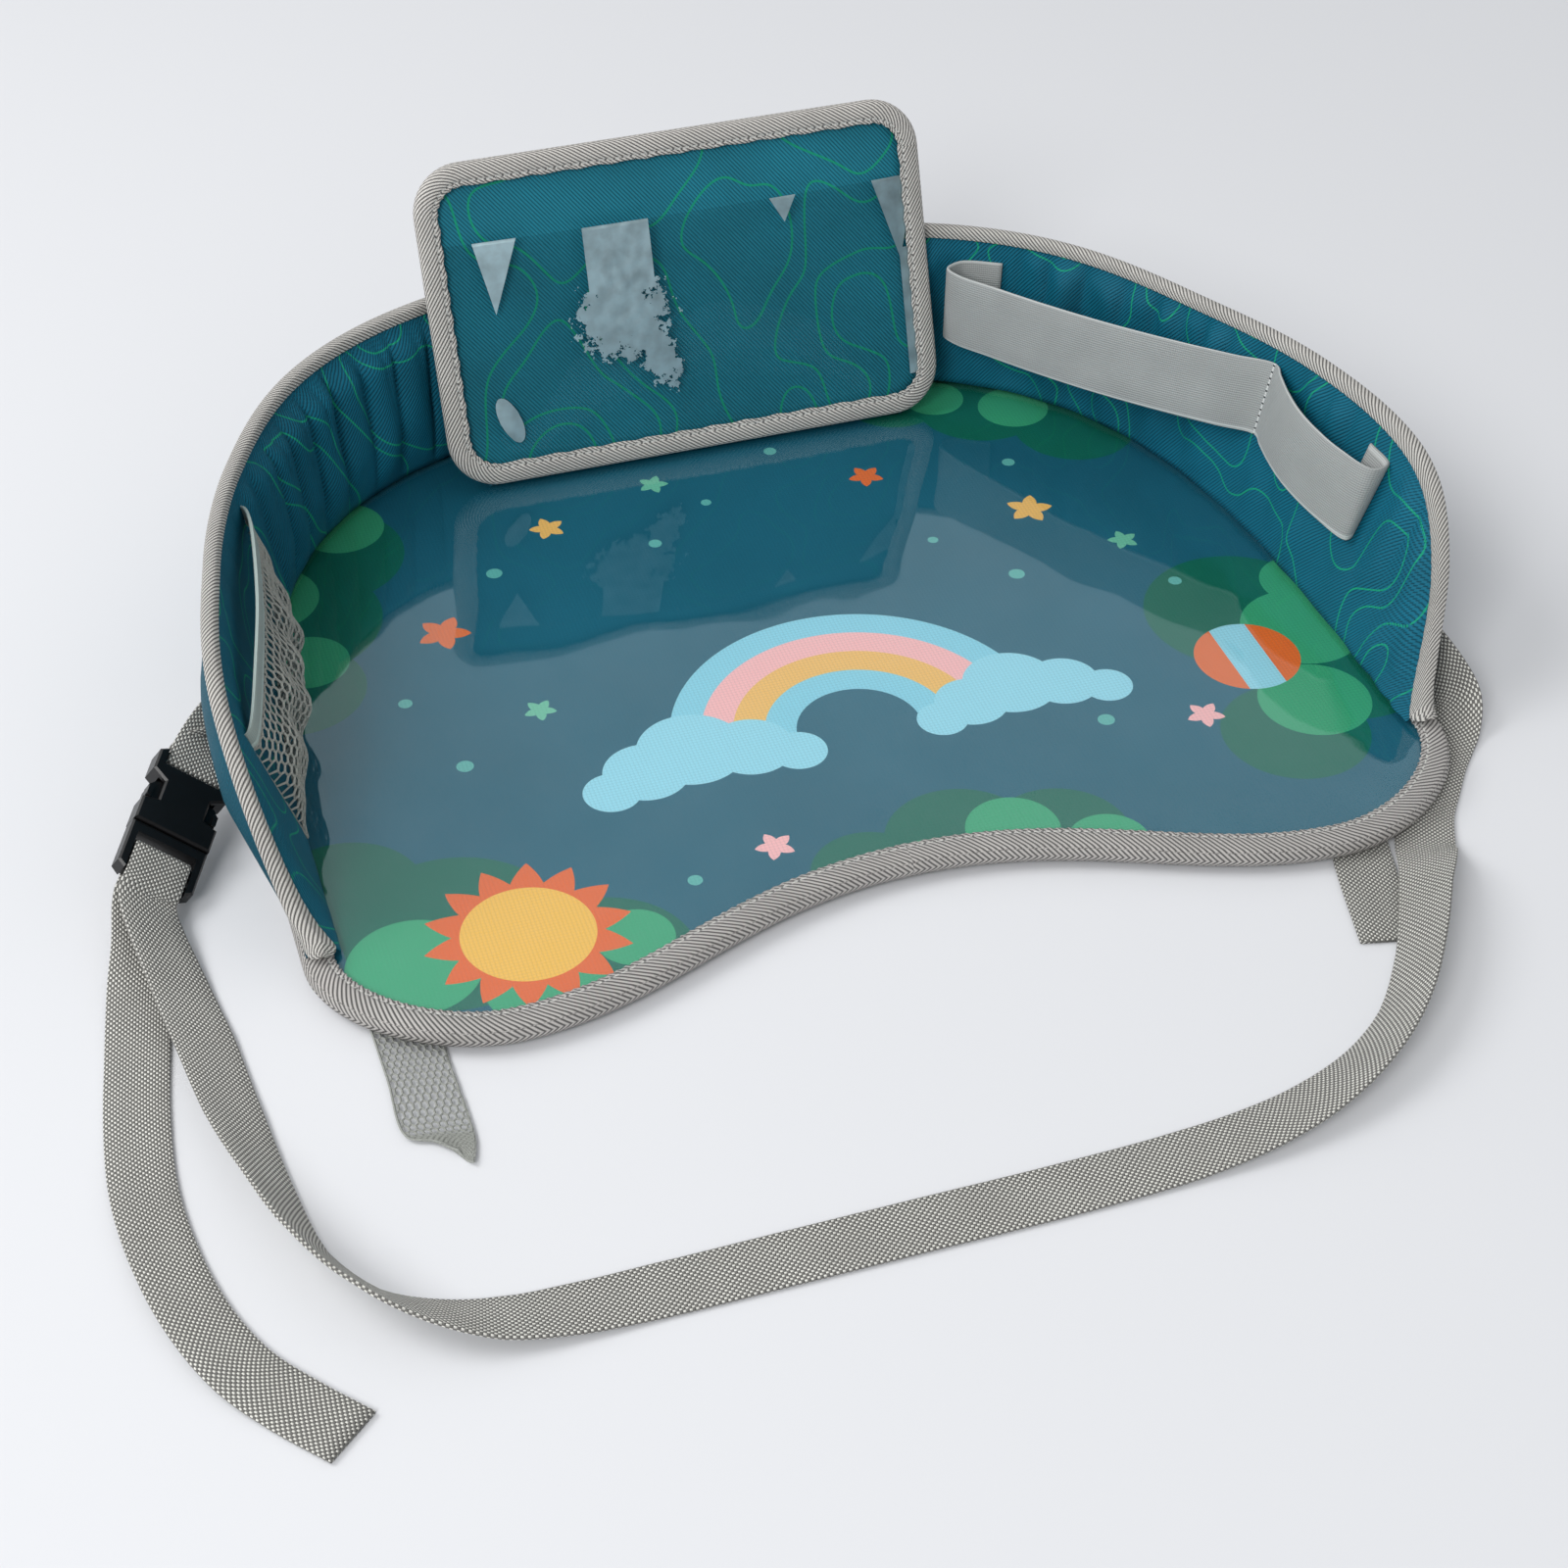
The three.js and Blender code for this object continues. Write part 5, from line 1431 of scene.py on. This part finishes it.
STARS = [
    (-118, 36, 10, ORANGE, 0.3), (-66, 88, 7, YELLOW, 0.8), (112, 44, 9, YELLOW, 0.1), (60, 84, 7, ORANGE, 0.6),
    (-96, -18, 6, MINT, 0.4), (138, 14, 6, MINT, 0.9), (-20, 104, 6, MINT, 0.2), (124, -92, 7, PINK, 0.5),
    (-40, -112, 7, PINK, 0.7),
]
print("motifs:", len(BUSHES_DARK + BUSHES_LIGHT), "bushes,", len(STARS), "stars,", len(DOTS), "dots")


# %% The printed cloth's finish
def printed_finish():
    finish = Finish("printed cloth", 0.65, Specular_IOR_Level=0.12)
    place = finish.object_place()
    x, y, _ = finish.split(place)
    ground = finish.mix(finish.noise(place, 0.012), linear((18, 86, 106)), linear((28, 102, 124)))

    def discs(circles):
        masks = [finish.group(DISC, Place=place, X=cx, Y=cy, Radius=r)["Mask"] for cx, cy, r in circles]
        whole = masks[0]
        for mask in masks[1:]:
            whole = whole.at_least(mask)
        return whole

    def star(at, **values):
        return finish.group(STAR, Place=place, X=at[0], Y=at[1], **values)["Mask"]

    def printed_over(colour, layers):
        for mask, tone in layers:
            colour = finish.mix(mask, colour, linear(tone))
        return colour

    ground = printed_over(ground, [(discs(BUSHES_DARK), DEEP_GREEN), (discs(BUSHES_LIGHT), LIGHT_GREEN)])
    colour, above = ground, y > RAINBOW_MIDDLE[1]
    for radius, tone in RAINBOW:
        band = discs([(*RAINBOW_MIDDLE, radius)]) * above
        colour = finish.mix(band, colour, linear(tone) if tone else ground)
    ball = discs([(*BALL, BALL_RADIUS)])
    layers = [
        (discs(CLOUD_LEFT), CLOUD_BLUE),
        (discs(CLOUD_RIGHT), CLOUD_BLUE),
        (star(SUN, Radius=SUN_RAYS, Points=14, Depth=0.28), SUN_ORANGE),
        (discs([(*SUN, SUN_DISC)]), SUN_YELLOW),
        (ball, ORANGE),
        (ball * (abs(x - BALL[0]) < HALF_STRIPE), CLOUD_BLUE),
    ]
    layers += [(star((sx, sy), Radius=size, Turn=turn), tone) for sx, sy, size, tone, turn in STARS]
    colour = printed_over(colour, layers + [(discs(DOTS), DOT_TEAL)])
    weave = finish.group(WEAVE, Place=place, Pitch_along=1.4, Pitch_across=1.4)
    finish.colour(finish.mix(between_threads(weave, 1.6) * 0.18, colour, linear((14, 48, 60))))
    finish.bump(weave["Height"], 0.06, 0.5)
    return finish


printed_finish().wear(printed)
print("print done")

# %% [markdown]
# ### Clear film and black plastic
#
# The films are soft clear sheets. Light goes straight through them, and they show by their reflections alone, so
# their shader is see-through and glossy, with a slight tint. The buckle is satin black plastic with a faint grain
# from its mould.

# %% Clear film
FILM_ROUGHNESS = 0.03


def film_finish(name, ripple, wave_height, tone, clear, grazing, painted_reflections=None):
    """A film is clear, and mirrors a little: more of the room the flatter the eye looks along it."""
    finish = Finish(name, FILM_ROUGHNESS, Metallic=1)
    place = finish.object_place()
    cloudy = finish.noise(place, 0.04, 3)
    colour = finish.mix(cloudy, linear(tone, 0.94), linear(tone))
    facing = finish.fill(finish.add("ShaderNodeLayerWeight"), Blend=0.5)["Facing"]
    alpha = facing**5 * grazing + clear + cloudy * 0.01
    # Painted reflection: inside the patches of the mask the film is pale, nearly opaque and rougher.
    if painted_reflections is not None:
        mask = painted_reflections(finish)
        colour = finish.mix(mask, colour, linear((212, 238, 246)))
        alpha = alpha.at_least(mask * 0.9)
        finish.fill(finish.shader, Roughness=mask * 0.55 + FILM_ROUGHNESS)
    finish.colour(colour)
    finish.fill(finish.shader, Alpha=alpha)
    finish.bump(finish.noise(place, ripple, 1.5), wave_height)
    return finish


def window_painted_reflections(finish):
    """Painted reflections: patches where the window is made pale, nearly opaque and rougher, so that reflected
    light is painted on: wedges at its open edge, a ragged one and an oval one.
    """
    place = finish.cloth_place()
    x, z, _ = finish.split(place)
    ragged = finish.noise(place, 0.22, 4, 0.7) - 0.5

    def between(value, low, high):
        return (value > low) * (value < high)

    def wedge(middle, foot, slope, lean=0):
        rise = z - foot
        return (abs(x - (rise * lean + middle)) < rise * slope) * (rise > 0)

    def oval(at_x, at_z, wide, tall, rough, lean=0):
        v = z - at_z
        u = (x - at_x) + v * lean
        return distance(u / wide, v / tall) + ragged * rough < 1

    parts = [
        between(x, -38, -12.5) * (z > 64),
        oval(-26, 54, 17, 15, 2.4),
        oval(-14, 38, 7, 13, 2.6, 0.3),
        wedge(41, 80, 0.55),
        wedge(-74, 62, 0.3, 0.1),
        wedge(87.5, 58, 0.3),
        (x > 87.3) * between(z, 12, 62),
        oval(-74, 21, 4.2, 9, 0.1, 0.3),
    ]
    mask = parts[0]
    for part in parts[1:]:
        mask = mask.at_least(part)
    return mask * (finish.noise(place, 0.12, 3) * 0.5 + 0.7)


film_finish("floor film", 0.016, 0.8, (224, 244, 250), 0.045, 1).wear(film)
film_finish("window film", 0.02, 0.3, (58, 78, 86), 0.06, 0.3, window_painted_reflections).wear(window)
print("films done")


# %% Black plastic of the buckle, and the boards inside
def plastic_finish(name, tone, roughness):
    finish = Finish(name, roughness, Specular_IOR_Level=0.5)
    place = finish.object_place()
    paler = [c * 1.5 + 4 for c in tone]
    finish.colour(finish.mix(finish.noise(place, 0.15), linear(tone), linear(paler)))
    finish.bump(finish.noise(place, 3, 3), 0.05, 0.35)
    return finish


plastic_finish("black buckle plastic", (9, 9, 10), 0.36).wear(*(nodes[name] for name in BUCKLE_PARTS))
plastic_finish("board", (48, 50, 52), 0.6).wear(nodes["floor_board"], nodes["panel_board"])
for name in BUCKLE_PARTS:
    edge = nodes[name].modifiers.new("soft edges", "BEVEL")
    edge.width = 0.8 * MM
    edge.segments = 3
    edge.limit_method = "ANGLE"
    edge.angle_limit = math.radians(40)
print("materials:", len(bpy.data.materials))

# %% [markdown]
# ## Studio
#
# The photograph has a pale, faintly marbled backdrop and almost no shadows. Here a plain pale table takes a soft
# shadow. The world is an even pale grey, and mirrors see a lighter back wall in it, so that the films show a broad
# reflection. A large soft lamp at the left and a stronger one at the front left draw out the folds.

# %% Table and world
table_mesh = bpy.data.meshes.new("table")
change_mesh(table_mesh, lambda shape: bmesh.ops.create_grid(shape, x_segments=2, y_segments=2, size=3.0))
table = new_object("table", table_mesh)
table.location = (0, 0, -0.0002)
table_finish = Finish("table", 0.9)
table_finish.colour(linear((222, 223, 226)))
table_finish.wear(table)

WORLD_STRENGTH = 0.6
world = bpy.data.worlds.new("studio")
bpy.context.scene.world = world
world.use_nodes = True
room = Nodes(world.node_tree)
_, towards_back, _ = room.split(room.values(room.add("ShaderNodeTexCoord"))["Generated"])
back_wall = room.add("ShaderNodeMapRange", interpolation_type="SMOOTHSTEP")
made = room.fill(back_wall, Value=towards_back, From_Min=-0.15, From_Max=0.35, To_Min=-0.5, To_Max=0.3)
for_mirrors = room.values(room.add("ShaderNodeLightPath"))["Is Glossy Ray"]
strength = for_mirrors * made["Result"] + WORLD_STRENGTH
room.fill(world.node_tree.nodes["Background"], Color=(0.97, 0.985, 1.0, 1.0), Strength=strength)
print("table and world done")


# %% Lamps
def soft_lamp(name, place, size, power):
    """A square lamp that looks at the tray."""
    data = bpy.data.lights.new(name, "AREA")
    data.shape = "RECTANGLE"
    data.size = data.size_y = size
    data.energy = power
    lamp = new_object(name, data)
    lamp.location = place
    lamp.rotation_euler = Vector(place).to_track_quat("Z", "Y").to_euler()
    return lamp


lamps = [
    soft_lamp("key lamp", (-1.25, 0.35, 1.35), 1.0, 15),
    soft_lamp("front lamp", (-1.7, -1.97, 1.97), 1.1, 42),
]
bpy.context.scene.view_settings.view_transform = "Standard"
print("lamps:", [(lamp.name, lamp.data.energy) for lamp in lamps])
